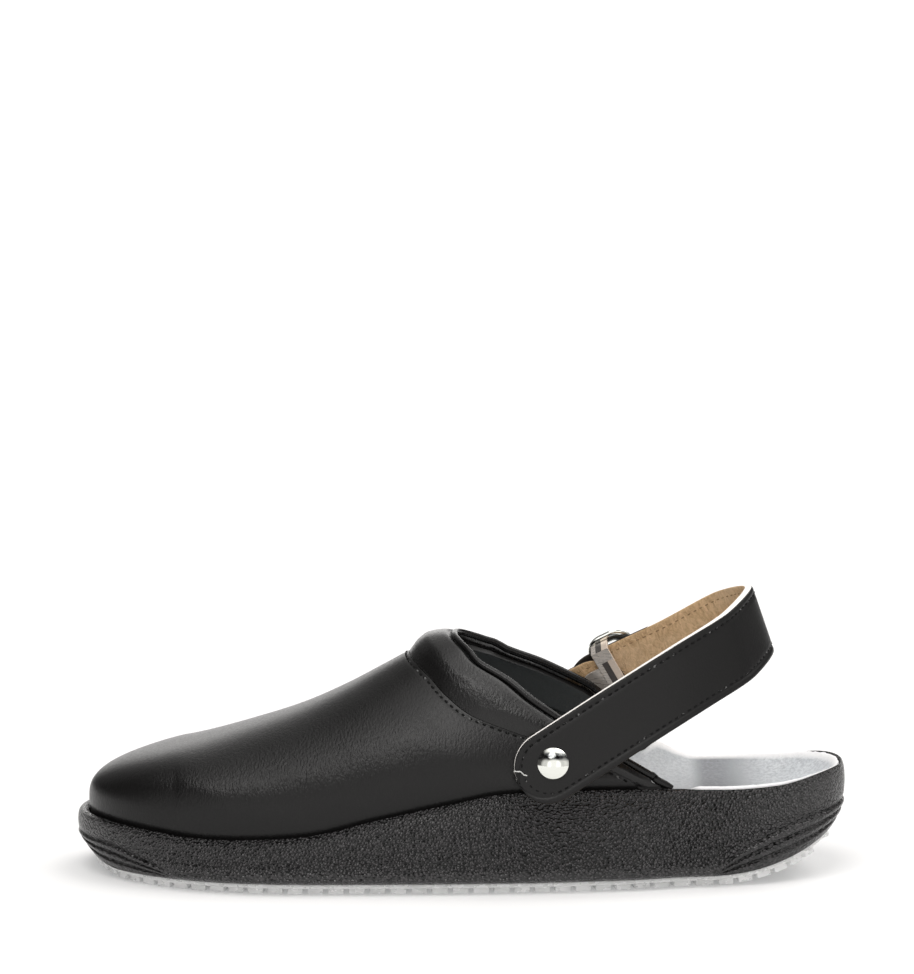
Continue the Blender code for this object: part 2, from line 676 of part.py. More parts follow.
def build_loop(finish):
    """Closed wire of the buckle, a rectangle with round corners lying on the strap's outer face."""
    curve = bpy.data.curves.new("buckle_frame", "CURVE")
    curve.dimensions = "3D"
    curve.bevel_depth = LOOP_WIRE * MM
    curve.bevel_resolution = 2
    corners = ((1, 1, 0), (-1, 1, 90), (-1, -1, 180), (1, -1, 270))
    path = []
    for along, across, start in corners:
        centre_x = along * (LOOP_LENGTH / 2 - LOOP_CORNER) - LOOP_TO_HEEL
        centre_y = across * (LOOP_WIDTH / 2 - LOOP_CORNER)
        for angle in np.radians(np.linspace(start, start + 90, 4)):
            path.append((centre_x + LOOP_CORNER * math.cos(angle), centre_y + LOOP_CORNER * math.sin(angle)))
    spline = curve.splines.new("POLY")
    spline.points.add(len(path) - 1)
    spline.use_cyclic_u = True
    lift = STRAP_THICKNESS / 2 + GAP + LOOP_WIRE
    for point, (x, y) in zip(spline.points, path):
        point.co = (x * MM, y * MM, lift * MM, 1)
    curve.materials.append(finish)
    part = bpy.data.objects.new("buckle_frame", curve)
    bpy.context.collection.objects.link(part)
    part.matrix_world = place(BUCKLE_MARK)
    return part


def prism(name, outline, low, high, axis, finish):
    """Outline extruded between two levels. axis is the order in which outline and level make up X, Y, Z."""
    skin = Skin()
    ends = []
    for level in (low, high):
        points = np.array([(*point, level) for point in outline])[:, axis]
        ends.append(skin.add(*points.T))
    skin.band(*ends)
    skin.faces += [tuple(end) for end in ends]
    return skin.build(name, finish)


def build_plate(finish):
    """Channel round strap and tab, with a round-ended tongue lying on the tab towards the toe."""
    inner = TAB_LIFT - TAB_THICKNESS / 2 - GAP
    outer = inner - PLATE_THICKNESS
    half = STRAP_WIDTH / 2 + GAP
    channel = [(-half - PLATE_THICKNESS, outer), (half + PLATE_THICKNESS, outer),
               (half + PLATE_THICKNESS, PLATE_EAR), (half, PLATE_EAR), (half, inner),
               (-half, inner), (-half, PLATE_EAR), (-half - PLATE_THICKNESS, PLATE_EAR)]
    part = prism("buckle_plate", channel, -PLATE_LENGTH / 2, PLATE_LENGTH / 2, [2, 0, 1], finish)
    radius = TONGUE_WIDTH / 2
    reach = PLATE_LENGTH / 2 + TONGUE_LENGTH - radius
    tongue = [(0, -radius), *((reach + radius * math.cos(a), radius * math.sin(a))
                              for a in np.linspace(-math.pi / 2, math.pi / 2, 9)), (0, radius)]
    level = (inner + outer - TONGUE_THICKNESS) / 2
    cutter = prism("tongue", tongue, level, level + TONGUE_THICKNESS, [0, 1, 2], finish)
    cutter.hide_render = True
    cutter.display_type = "WIRE"
    union = part.modifiers.new("tongue", "BOOLEAN")
    union.object = cutter
    union.operation = "UNION"
    part.matrix_world = cutter.matrix_world = place(BUCKLE_MARK)
    return part


def main():
    for old in list(bpy.data.objects):
        bpy.data.objects.remove(old)
    leather = material("leather", (0.012, 0.012, 0.013), 0.4)
    metal = material("polished_metal", (0.8, 0.78, 0.74), 0.12, 1.0)
    build_outsole(material("clear_rubber", (0.62, 0.64, 0.64), 0.25))
    build_midsole(material("black_foam", (0.014, 0.014, 0.015), 0.6))
    build_insole(material("suede", (0.5, 0.55, 0.6), 0.9))
    upper = build_upper(leather)
    build_collar(leather)
    build_binding(leather)
    strap_marks = (0, STRAP_TIP_MARK)
    strap = build_band("heel_strap", *strap_marks, STRAP_WIDTH, STRAP_THICKNESS, 0, leather, STRAP_STATIONS)
    tab = build_band("strap_tab", *TAB_MARKS, TAB_WIDTH, TAB_THICKNESS, TAB_LIFT, leather, TAB_STATIONS)
    build_loop(metal)
    build_plate(metal)
    strap_top, tab_top = STRAP_THICKNESS / 2 + GAP, TAB_LIFT + TAB_THICKNESS / 2 + GAP
    build_rivet("rivet_lateral", LATERAL_RIVET_MARK, strap_top, LATERAL_RIVET_REACH, metal)
    build_rivet("rivet_medial", MEDIAL_RIVET_MARK, tab_top, MEDIAL_RIVET_REACH, metal)
    drill(LATERAL_RIVET_MARK, (strap, upper))
    drill(MEDIAL_RIVET_MARK, (tab, upper))


main()
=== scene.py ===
"""Dressed work clog on a pale studio floor.

The toe points to -X, the heel to +X, the outer side to -Y, and the floor is Z = 0. Shapes are worked out in
millimetres, from the same sizes as the solids, and become metres where a mesh is made.
"""

import math

import bmesh
import bpy
import numpy as np
from mathutils import Matrix, Vector


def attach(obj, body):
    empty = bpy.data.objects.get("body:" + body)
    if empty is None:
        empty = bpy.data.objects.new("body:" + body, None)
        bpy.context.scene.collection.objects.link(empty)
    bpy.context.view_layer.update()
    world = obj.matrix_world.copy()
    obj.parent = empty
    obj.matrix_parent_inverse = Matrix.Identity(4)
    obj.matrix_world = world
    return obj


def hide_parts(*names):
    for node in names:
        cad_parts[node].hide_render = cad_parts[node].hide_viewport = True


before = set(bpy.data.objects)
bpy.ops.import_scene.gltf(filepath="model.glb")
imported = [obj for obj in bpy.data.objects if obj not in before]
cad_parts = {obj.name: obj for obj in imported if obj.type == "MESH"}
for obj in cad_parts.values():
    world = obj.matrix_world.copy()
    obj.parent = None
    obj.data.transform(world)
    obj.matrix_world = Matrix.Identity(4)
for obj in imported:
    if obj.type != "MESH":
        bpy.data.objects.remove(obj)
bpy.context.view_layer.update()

MM = 0.001
LATERAL, MEDIAL = -1, 1
SIDES = {LATERAL: "lateral", MEDIAL: "medial"}
GAP = 0.3


# Sizes of the sole, upper and strap

class Table:
    """Rows of named columns, read between the rows along a curve that never overshoots them."""

    def __init__(self, names, *rows, level_ends=False):
        self.columns = dict(zip(names.split(), np.array(rows, float).T))
        self.knots = self.columns[names.split()[0]]
        self.level_ends = level_ends

    def rows(self):
        return zip(*self.columns.values())

    def read(self, name, at):
        values = self.columns[name]
        step = np.diff(self.knots)
        rise = np.diff(values) / step
        slope = np.zeros(len(values))
        for i in range(1, len(values) - 1):
            if rise[i - 1] * rise[i] > 0:
                before, after = 2 * step[i] + step[i - 1], step[i] + 2 * step[i - 1]
                slope[i] = (before + after) / (before / rise[i - 1] + after / rise[i])
        if not self.level_ends:
            slope[0], slope[-1] = rise[0], rise[-1]
        at = np.clip(at, self.knots[0], self.knots[-1])
        i = np.clip(np.searchsorted(self.knots, at, side="right") - 1, 0, len(step) - 1)
        t = (at - self.knots[i]) / step[i]
        start = values[i] * (1 + 2 * t) * (1 - t) ** 2 + slope[i] * step[i] * t * (1 - t) ** 2
        end = values[i + 1] * t * t * (3 - 2 * t) - slope[i + 1] * step[i] * t * t * (1 - t)
        return start + end


SOLE_LENGTH = 285.0
TOE_TIP_Y, HEEL_TIP_Y = 5.0, -1.0
TOE_ROUNDNESS = {LATERAL: 2.0, MEDIAL: 2.3}
HEEL_ROUNDNESS = 2.2
SIDE_EDGE = {
    LATERAL: Table("from_toe half_width",
                   (87, 52), (125, 51.2), (157, 49.8), (203, 44), (235, 36.8), level_ends=True),
    MEDIAL: Table("from_toe half_width",
                  (80, 52), (120, 47.5), (150, 43), (180, 39.5), (235, 34.5), level_ends=True),
}
RIM = Table(
    "from_toe lateral medial",
    (0, 22.6, 22.6), (20, 21.6, 22), (50, 19.7, 20.5), (85, 21.5, 23), (113, 27.7, 29),
    (141, 33.7, 35.5), (160, 37, 40), (190, 37.7, 43.5), (213, 37.2, 42.5), (219, 37, 40.4),
    (225, 36.7, 37.4), (231, 36.4, 35.8), (238, 36.3, 35.9), (258, 37.2, 36.9), (285, 41.5, 41.5),
    level_ends=True)
BED = Table(
    "from_toe middle",
    (0, 19), (12, 15.7), (40, 13.6), (75, 13), (110, 16.5), (150, 24), (185, 27.5),
    (225, 27), (255, 27.5), (272, 31), (285, 39.9))
BED_POWER = 2.6
RIM_DEPTH, HEEL_STEP = 3.6, 1.6
RIM_WIDTH, HEEL_RIM_WIDTH = 3.9, 1.8
OPEN_HEEL = {LATERAL: (223.0, 230.0), MEDIAL: (211.0, 218.0)}
MIDSOLE_BOTTOM = 4.0
TOE_SPRING, TOE_SPRING_LENGTH = 0.6, 63.0
TOE_ROLL_START, TOE_ROLL_RADIUS = 18.0, 22.0
HEEL_ROLL_START, HEEL_ROLL_RADIUS = 231.0, 92.0
RIBS = 3
RIB_DEPTH, RIB_FADE, RIB_SHARPNESS = 1.1, 4.0, 5
RIB_RINGS, WALL_RINGS, MIDSOLE_STATIONS, INSOLE_STATIONS = 31, 34, 300, 220
PLAIN_FOOT = 1.8
FOOT_GRAIN, RIB_GRAIN, BED_GRAIN = 0.15, 0.3, 0.6
GROOVE = Table(
    "from_toe height",
    (0, 14.7), (12, 14.4), (20, 12.3), (30, 8.9), (40, 5.8), (235, 5.8), (240, 9.6),
    (246, 13.8), (263, 22), (285, 28))
TUCK = Table(
    "from_toe bottom outsole",
    (0, 3.5, 6.4), (40, 2.4, 4), (245, 2.4, 4), (285, 4, 5.6), level_ends=True)
WALL = Table(
    "along share inset",
    (0, 0, 1.1), (0.06, 0.03, 0.75), (0.15, 0.1, 0.4), (0.3, 0.3, 0.1), (0.5, 0.5, 0),
    (0.68, 0.8, 0.3), (0.8, 0.9, 0.8), (0.9, 0.97, 1.6), (1, 1, 2.6))
TUCK_CURVE = 1.6
OUTSOLE_PLATE, LUG_HEIGHT, LUG_MARGIN, LUG_BAND, LUG_STATIONS = 1.6, 2.1, 0.9, 12.0, 44
INSOLE_THICKNESS = 2.6
INSOLE_INSET, HEEL_INSOLE_INSET = 7.6, 2.2
INSOLE_EDGE = Table(
    "step rise pale",
    (0, 0, 1), (0, 0.3, 1), (0, 0.62, 1), (0.06, 0.86, 1), (0.3, 1.05, 1), (0.8, 1.14, 1),
    (1.5, 1.12, 0.95), (2.2, 1.05, 0.6), (3.2, 1, 0))
INSOLE_FRAY = 0.1
# Where the insole's painted shade rises to its dark band across the heel, and where it fades out towards
# the back.
INSOLE_SHADE_START, INSOLE_SHADE_END = (85.0, 92.0), (95.0, 118.0)

UPPER_WALL = 2.0
UPPER_BASE_INSET, BELT_INSET = 4.5, 4.2
BASE_BELOW_RIM, BELT_ABOVE_RIM = 3.0, 3.0
BELT_SHARE = 0.2
WING_END = {LATERAL: 221.0, MEDIAL: 216.0}
SPINE_Y, SPINE_SLOPE = 4.0, 0.265
SPINE = Table(
    "from_toe height",
    (37.5, 46.8), (46.5, 48.9), (65, 54.3), (84, 60.8), (102.5, 69.4), (114, 75.7),
    (124, 81), (132, 84), (141.5, 86.2))
SECTIONS = Table(
    "share spine full_lateral full_medial",
    (0, 37.5, 3.4, 3.4), (0.2, 37.5, 3.2, 3.2), (0.33, 42, 2.8, 2.8),
    (0.5, 64, 2.5, 2.6), (0.7, 97, 2.3, 2.5), (0.9, 124, 2.2, 2.5), (1, 141.5, 2.2, 2.6))
SEAM = Table(
    "height share",
    (0, 0.955), (0.2, 0.935), (0.32, 0.918), (0.42, 0.884), (0.52, 0.866), (0.62, 0.874),
    (0.74, 0.889), (1, 0.897), level_ends=True)
THROAT = Table(
    "height lateral medial",
    (0, 1, 0.966), (0.1, 0.987, 0.966), (0.2, 0.966, 0.982), (0.3, 0.968, 1.017),
    (0.4, 0.97, 1.052), (0.5, 0.972, 1.054), (0.6, 0.979, 1.018), (0.7, 0.972, 0.994),
    (0.8, 0.981, 0.988), (1, 0.985, 0.985), level_ends=True)
SEAM_COLUMN, FIRST_BENT_COLUMN, FIRST_FINE_COLUMN = 0.9, 0.66, 0.86
STITCH_COLUMN, SEAM_HALF, COLLAR_MARGIN = SEAM_COLUMN - 0.009, 0.0005, 0.0008
SEAM_STEP, STITCH_DIP, BASE_TUCK = 1.6, 0.15, 0.3
COLLAR_SKIN, COLLAR_GAP, COLLAR_PAD, WING_PAD = 1.4, 0.45, 4.0, 1.0
COLLAR_BULGE = Table("across share", (0, 0), (0.12, 0.28), (0.3, 0.7), (0.55, 1), (0.85, 0.9), (1, 0.7))
SHORT_RIPPLE, LONG_RIPPLE, COLLAR_GROOVE = 0.05, 0.08, 0.9
BINDING_RADIUS = 1.25

STRAP_WIDTH, STRAP_THICKNESS = 26.0, 3.0
STRAP_END_POWER = {1: 2.0, -1: 2.3}
STRAP_LEAN = math.radians(19)
STRAP_MIDDLE = np.array([60, 0, 0])
STRAP_ROUTE = Table(
    "mark x y z",
    (0, 21.3, -47.9, 40.2), (1, 33.6, -46.8, 48), (2, 60, -42.3, 64.4), (3, 84, -34, 78.2),
    (4, 102, -21.5, 87.8), (5, 110.5, 0, 93.8), (6, 102, 21.5, 89.3), (7, 84, 33, 78.6),
    (8, 60, 38.5, 66.6), (9, 34, 41.5, 53), (10, 23, 42.5, 47))
STRAP_TIP_MARK, PALE_EDGE_MARK, LINING_MARK = 8.62, 7.3, 7.95
STRAP_SKIVE = 0.6
STRAP_EDGE = Table(
    "inset fall",
    (0, 0.45), (0.12, 0.22), (0.45, 0.06), (1, 0), (1.7, 0.04), (2.1, 0.18), (2.5, 0.27),
    (2.9, 0.18), (3.4, 0.04), (4.5, 0), (7, 0), (10, 0))
STRAP_STITCH_INSET, TAB_STITCH_INSET, STITCH_SINK = 3.0, 2.6, 0.2
# Pitch, length and radius of the stitches
SEAM_STITCH, OUTER_STITCH, INNER_STITCH = (2.9, 2.2, 0.42), (2.8, 2.1, 0.36), (2.8, 2.1, 0.28)
STRAY_STITCH = Table(
    "run across depth",
    (0.97, 5.2, 0.6), (1.25, 5.3, 1.65), (2.1, 4.5, 1.75), (3, 4, 1.85), (3.3, 3.3, 1.75),
    (3.4, 2.3, 1.8), (4.2, 1.5, 1.65), (4.4, 1.4, 0.9))
TAB_WIDTH, TAB_THICKNESS, TAB_MARKS = 25.0, 2.6, (7.92, 9.94)
TAB_LIFT = -(STRAP_THICKNESS / 2 + GAP + TAB_THICKNESS / 2)
BUCKLE_MARK = 8.04
LOOP_LENGTH, LOOP_WIDTH, LOOP_CORNER, LOOP_WIRE = 13.0, 29.4, 4.5, 1.3
LOOP_TO_HEEL, LOOP_NARROWER = 3.0, 0.5
LUG_SOFTNESS, CLASP_SOFTNESS = 0.3, 0.25
PLATE_LENGTH, PLATE_THICKNESS, PLATE_EAR = 7.0, 1.2, 1.5
TONGUE_LENGTH, TONGUE_WIDTH, TONGUE_THICKNESS = 11.0, 16.0, 0.8
# Above BAR_TOP the channel's outer face is dull; the second pair is the stretch along it painted dark, as
# painted shade of a facet.
BAR_TOP, SHADE_STRIP = 9.4, (-0.9, 1.5)
RIVET_HEAD, RIVET_DOME, RIVET_EDGE, RIVET_SHANK = 5.65, 2.6, 0.35, 2.0
RIVET_WASHER, RIVET_WASHER_THICKNESS, RIVET_SIDES = 3.6, 1.0, 64
RIVET_REACH = {LATERAL: 10.2, MEDIAL: 9.0}
RIVET_MARK = {LATERAL: 1.0, MEDIAL: 9.0}
RIVET_LIFT = {LATERAL: STRAP_THICKNESS / 2 + GAP, MEDIAL: TAB_LIFT + TAB_THICKNESS / 2 + GAP}


# Shape functions

def smoothstep(low, high, at):
    t = np.clip((at - low) / (high - low), 0, 1)
    return t * t * (3 - 2 * t)


def bell(at, middle, width):
    return np.exp(-((at - middle) / width) ** 2)


def joined(*parts):
    return np.concatenate(parts)


def abreast(*parts):
    return np.stack(parts, axis=-1)


def unit(v):
    return v / np.linalg.norm(v, axis=-1, keepdims=True)


def cap(share, power):
    return (1 - (1 - np.clip(share, 0, 1)) ** power) ** (1 / power)


def edge_half(side, from_toe):
    table = SIDE_EDGE[side]
    ball, heel = table.knots[0], table.knots[-1]
    half = table.read("half_width", from_toe)
    toe_tip, heel_tip = side * TOE_TIP_Y, side * HEEL_TIP_Y
    toe = toe_tip + (half - toe_tip) * cap(from_toe / ball, TOE_ROUNDNESS[side])
    from_heel = (SOLE_LENGTH - from_toe) / (SOLE_LENGTH - heel)
    back = heel_tip + (half - heel_tip) * cap(from_heel, HEEL_ROUNDNESS)
    return np.where(from_toe < ball, toe, np.where(from_toe > heel, back, half))


class Edge:
    """One side of the sole outline, measured along its length from the toe tip."""

    def __init__(self, side):
        self.side = side
        turn = np.linspace(0, math.pi, 3001)
        self.from_toe = SOLE_LENGTH / 2 * (1 - np.cos(turn))
        self.x = self.from_toe - SOLE_LENGTH / 2
        self.y = side * edge_half(side, self.from_toe)
        self.arc = joined([0], np.cumsum(np.hypot(np.diff(self.x), np.diff(self.y))))
        along_x, along_y = np.gradient(self.x), np.gradient(self.y)
        length = np.hypot(along_x, along_y)
        self.normal_x, self.normal_y = -side * along_y / length, side * along_x / length

    def at(self, arc, inset):
        x = np.interp(arc, self.arc, self.x) - inset * np.interp(arc, self.arc, self.normal_x)
        y = np.interp(arc, self.arc, self.y) - inset * np.interp(arc, self.arc, self.normal_y)
        return x, y

    def arc_at(self, from_toe):
        return np.interp(from_toe, self.from_toe, self.arc)


EDGES = {side: Edge(side) for side in SIDES}


def rim_z(side, from_toe):
    return RIM.read(SIDES[side], from_toe)


def bottom_z(from_toe):
    spring = TOE_SPRING * np.clip(1 - from_toe / TOE_SPRING_LENGTH, 0, 1) ** 2
    toe = np.clip(TOE_ROLL_START - from_toe, 0, None)
    heel = np.clip(from_toe - HEEL_ROLL_START, 0, None)
    toe_roll = TOE_ROLL_RADIUS - np.sqrt(TOE_ROLL_RADIUS ** 2 - toe ** 2)
    heel_roll = HEEL_ROLL_RADIUS - np.sqrt(HEEL_ROLL_RADIUS ** 2 - heel ** 2)
    return MIDSOLE_BOTTOM + spring + toe_roll + heel_roll


def open_heel(side, from_toe):
    return smoothstep(*OPEN_HEEL[side], from_toe)


def bed_z(x, y):
    from_toe = x + SOLE_LENGTH / 2
    edge_y, edge_z = {}, {}
    for side in SIDES:
        share = open_heel(side, from_toe)
        width = RIM_WIDTH + (HEEL_RIM_WIDTH - RIM_WIDTH) * share
        edge_y[side] = side * (edge_half(side, from_toe) - width)
        edge_z[side] = rim_z(side, from_toe) - RIM_DEPTH - (HEEL_STEP - RIM_DEPTH) * share
    low, high = edge_y[LATERAL], edge_y[MEDIAL]
    across = np.clip((2 * y - low - high) / np.maximum(high - low, 2), -1, 1)
    side_z = np.where(across < 0, edge_z[LATERAL], edge_z[MEDIAL])
    middle = BED.read("middle", from_toe)
    return middle + (side_z - middle) * np.abs(across) ** BED_POWER


class Outline:
    """Columns all round the sole, along the lateral side to the heel and back along the medial side."""

    def __init__(self, stations):
        self.stations = stations
        shares = np.linspace(0, 1, stations + 1)
        self.parts = [(EDGES[LATERAL], shares), (EDGES[MEDIAL], shares[-2:0:-1])]
        self.from_toe = self.join(lambda side, from_toe: from_toe)
        self.rim = self.join(rim_z)
        self.heel = self.join(open_heel)

    def join(self, function):
        """Values all round of a function of the side and the distance from the toe."""
        values = []
        for edge, shares in self.parts:
            values.append(function(edge.side, np.interp(shares * edge.arc[-1], edge.arc, edge.from_toe)))
        return np.concatenate(values)

    def ring(self, inset, height):
        """Points all round, inset from the edge. The heights are given, or a function of x and y."""
        count = self.stations + 1
        inset = np.broadcast_to(inset, self.from_toe.shape)
        insets = (inset[:count], inset[count:])
        sides = [edge.at(s * edge.arc[-1], i) for (edge, s), i in zip(self.parts, insets)]
        x, y = (np.concatenate(values) for values in zip(*sides))
        return abreast(x, y, height(x, y) if callable(height) else height)


def upper_point(side, share, height):
    edge = EDGES[side]
    arc = share * edge.arc_at(WING_END[side])
    low = np.clip(height / BELT_SHARE, 0, 1)
    base_x, base_y = edge.at(arc, UPPER_BASE_INSET + (BELT_INSET - UPPER_BASE_INSET) * low)
    rim = rim_z(side, np.minimum(np.interp(arc, edge.arc, edge.from_toe), WING_END[side]))
    base_z = rim - BASE_BELOW_RIM + (BASE_BELOW_RIM + BELT_ABOVE_RIM) * low
    fullness = SECTIONS.read("full_" + SIDES[side], share)
    spine = SECTIONS.read("spine", share)
    spine_x, spine_z = spine - SOLE_LENGTH / 2, SPINE.read("height", spine)
    turn = np.clip((height - BELT_SHARE) / (1 - BELT_SHARE), 0, 1) * math.pi / 2
    out = np.maximum(np.cos(turn), 0) ** (2 / fullness)
    drop = 1 - np.sin(turn) ** (2 / fullness)
    ahead, behind = np.minimum(base_x - spine_x, 0), np.maximum(base_x - spine_x, 0)
    fall = spine_z + SPINE_SLOPE * ahead - base_z
    x = spine_x + ahead * out + behind * drop
    y = SPINE_Y + (base_y - SPINE_Y) * out
    z = spine_z + SPINE_SLOPE * ahead * out - fall * drop
    return np.stack(np.broadcast_arrays(x, y, z), axis=-1)


def upper_normal(side, share, height):
    small = 1e-4
    share, height = np.clip(share, small, 1 - small), np.clip(height, small, 0.98)
    along = upper_point(side, share + small, height) - upper_point(side, share - small, height)
    up = upper_point(side, share, height + small) - upper_point(side, share, height - small)
    return unit(side * np.cross(up, along))


def follow_seam(side, column, height):
    seam = SEAM.read("share", height)
    throat = THROAT.read(SIDES[side], height)
    ahead = column + (seam - SEAM_COLUMN) * smoothstep(FIRST_BENT_COLUMN, SEAM_COLUMN, column)
    behind = seam + (column - SEAM_COLUMN) / (1 - SEAM_COLUMN) * (throat - seam)
    return np.where(column < SEAM_COLUMN, ahead, behind)


def collar_lift(across, heights):
    """Height of the collar's outer face over the upper's face, at a place between seam and throat edge."""
    pad = WING_PAD + (COLLAR_PAD - WING_PAD) * smoothstep(0.25, 0.8, heights)
    return COLLAR_SKIN - SEAM_STEP + GAP + pad * COLLAR_BULGE.read("share", across)


def strap_point(mark):
    return np.stack([STRAP_ROUTE.read(axis, mark) for axis in "xyz"], axis=-1)


def strap_frame(mark):
    """Middle of the strap at each mark, with its direction up across the width and its outward normal."""
    small = 1e-3
    along = unit(strap_point(mark + small) - strap_point(mark - small))
    level = unit(abreast(along[:, 1], -along[:, 0], 0 * along[:, 0]))
    upright = np.cross(level, along)
    upright *= np.sign(upright[:, 2:])
    out = level * np.sign(np.sum(level * (strap_point(mark) - STRAP_MIDDLE), axis=-1, keepdims=True))
    up = upright * math.cos(STRAP_LEAN) - out * math.sin(STRAP_LEAN)
    normal = out * math.cos(STRAP_LEAN) + upright * math.sin(STRAP_LEAN)
    return strap_point(mark), up, normal


# Mesh helpers

MERGE_DISTANCE = 2e-6
WIDEST_OPEN_END = 64
STITCH_RINGS, STITCH_SIDES = 7, 8


def there_and_back(values):
    return joined(values, values[-2::-1])


def arc_length(points):
    return joined([0], np.cumsum(np.linalg.norm(np.diff(points, axis=0), axis=1)))


def between(at, knots, points):
    return np.stack([np.interp(at, knots, points[:, k]) for k in range(3)], axis=-1)


def hoops(middle, aside, up, radius, sides):
    """Rings of points round a path, with a radius that may change along it."""
    turn = np.linspace(0, 2 * math.pi, sides, endpoint=False)
    across = aside[:, None] * np.cos(turn)[:, None] + up[:, None] * np.sin(turn)[:, None]
    return middle[:, None] + np.broadcast_to(radius, len(middle))[:, None, None] * across


def grid_faces(rows, columns, wrap=False, start=0):
    index = np.arange(rows * columns).reshape(rows, columns) + start
    if wrap:
        index = np.concatenate((index, index[:, :1]), axis=1)
    corners = (index[:-1, :-1], index[:-1, 1:], index[1:, 1:], index[1:, :-1])
    return np.stack(corners, axis=-1).reshape(-1, 4)


def show(name, data):
    thing = bpy.data.objects.new(name, data)
    bpy.context.collection.objects.link(thing)
    return thing


def settle(thing, node):
    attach(thing, "root")
    if node:
        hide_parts(*([node] if isinstance(node, str) else node))
    return thing


def soften(thing, width, segments):
    soft = thing.modifiers.new("soft edges", "BEVEL")
    soft.width = width * MM
    soft.segments = segments
    soft.limit_method = "ANGLE"


def piece(name, points, faces, paints, node=None,
          face_paint=None, masks=None, flow=None, sharp=None):
    """Mesh that rides with the shoe. masks are numbers at its points, flow is a place in millimetres."""
    mesh = bpy.data.meshes.new(name)
    corners = [list(dict.fromkeys(face)) for face in np.asarray(faces).tolist()]
    mesh.from_pydata((np.asarray(points) * MM).tolist(), [], corners)
    if face_paint is not None:
        mesh.polygons.foreach_set("material_index", np.asarray(face_paint, np.int32))
    for key, values in (masks or {}).items():
        mask = mesh.attributes.new(key, "FLOAT", "POINT")
        mask.data.foreach_set("value", np.asarray(values, np.float32))
    if flow is not None:
        places = mesh.attributes.new("flow", "FLOAT_VECTOR", "POINT")
        places.data.foreach_set("vector", np.asarray(flow, np.float32).ravel())
    work = bmesh.new()
    work.from_mesh(mesh)
    bmesh.ops.remove_doubles(work, verts=work.verts, dist=MERGE_DISTANCE)
    open_edges = [edge for edge in work.edges if edge.is_boundary]
    bmesh.ops.holes_fill(work, edges=open_edges, sides=WIDEST_OPEN_END)
    bmesh.ops.recalc_face_normals(work, faces=work.faces)
    work.to_mesh(mesh)
    work.free()
    mesh.shade_smooth()
    if sharp:
        mesh.set_sharp_from_angle(angle=math.radians(sharp))
    for paint in paints:
        mesh.materials.append(paint)
    return settle(show(name, mesh), node)


def stitches(name, path, normal, paint, pitch, length, radius, lift=0.0):
    """Row of sewn stitches along a path, each a short bead that dips into the leather at both ends."""
    arc = arc_length(path)
    count = int(arc[-1] / pitch)
    starts = (arc[-1] - count * pitch) / 2 + pitch * np.arange(count) + (pitch - length) / 2
    along = np.linspace(0, 1, STITCH_RINGS)
    swell = np.sqrt(np.clip(1 - (2 * along - 1) ** 4, 0.05, 1)) * radius
    dip = lift - radius * 1.3 * np.abs(2 * along - 1) ** 3
    points, faces = [], []
    for start in starts:
        at = start + along * length
        middle, up = between(at, arc, path), unit(between(at, arc, normal))
        ahead = unit(np.gradient(middle, axis=0))
        base = len(points) * STITCH_RINGS * STITCH_SIDES
        rings = hoops(middle + up * dip[:, None], np.cross(ahead, up), up, swell, STITCH_SIDES)
        points.append(rings.reshape(-1, 3))
        faces.append(grid_faces(STITCH_RINGS, STITCH_SIDES, wrap=True, start=base))
    piece(name, np.concatenate(points), np.concatenate(faces), [paint])


# Materials

def plug(tree, socket, value):
    """Links an output to a socket, or sets the socket to a number, a vector or a colour."""
    if isinstance(value, bpy.types.NodeSocket):
        tree.links.new(value, socket)
    else:
        socket.default_value = (*value, 1) if socket.type == "RGBA" else value


def add_node(tree, kind, inputs, **settings):
    node = tree.nodes.new("ShaderNode" + kind)
    for key, value in settings.items():
        setattr(node, key, value)
    for key, value in inputs.items():
        plug(tree, node.inputs[key], value)
    return node


class Paint:
    """Principled material with a few helpers for its texture nodes."""

    def __init__(self, name):
        self.material = bpy.data.materials.new(name)
        self.material.use_nodes = True
        self.tree = self.material.node_tree

    def dress(self, **sockets):
        """Sets or links sockets of the shader by name, and gives the material."""
        for key, value in sockets.items():
            plug(self.tree, self.tree.nodes["Principled BSDF"].inputs[key.replace("_", " ")], value)
        return self.material

    def node(self, kind, inputs, **settings):
        return add_node(self.tree, kind, inputs, **settings)

    def place(self, scale, flow=False):
        """Place on the surface in millimetres, times a scale: in space, or along the piece's own flow."""
        if flow:
            vector = self.node("Attribute", {}, attribute_name="flow").outputs["Vector"]
        else:
            vector = self.node("TexCoord", {}).outputs["Object"]
            scale = tuple(s / MM for s in scale)
        return self.node("Mapping", {"Vector": vector, "Scale": scale}).outputs["Vector"]

    def noise(self, scale, detail, roughness=0.55, distortion=0.0, flow=False):
        inputs = {"Vector": self.place(scale, flow), "Scale": 1.0, "Detail": detail, "Roughness": roughness}
        return self.node("TexNoise", {**inputs, "Distortion": distortion}).outputs["Fac"]

    def cells(self, scale, flow=False):
        inputs = {"Vector": self.place(scale, flow), "Scale": 1.0}
        return self.node("TexVoronoi", inputs).outputs["Distance"]

    def mask(self, name):
        return self.node("Attribute", {}, attribute_name=name).outputs["Fac"]

    def math(self, operation, a, b):
        return self.node("Math", {0: a, 1: b}, operation=operation).outputs[0]

    def remap(self, value, low, high, to_low, to_high):
        inputs = {"Value": value, "From Min": low, "From Max": high, "To Min": to_low, "To Max": to_high}
        return self.node("MapRange", inputs).outputs["Result"]

    def blend(self, factor, a, b):
        return self.node("Mix", {0: factor, 6: a, 7: b}, data_type="RGBA").outputs[2]

    def bump(self, height, distance, over=None):
        inputs = {"Height": height, "Distance": distance * MM, "Strength": 1.0}
        if over is not None:
            inputs["Normal"] = over
        return self.node("Bump", inputs).outputs["Normal"]


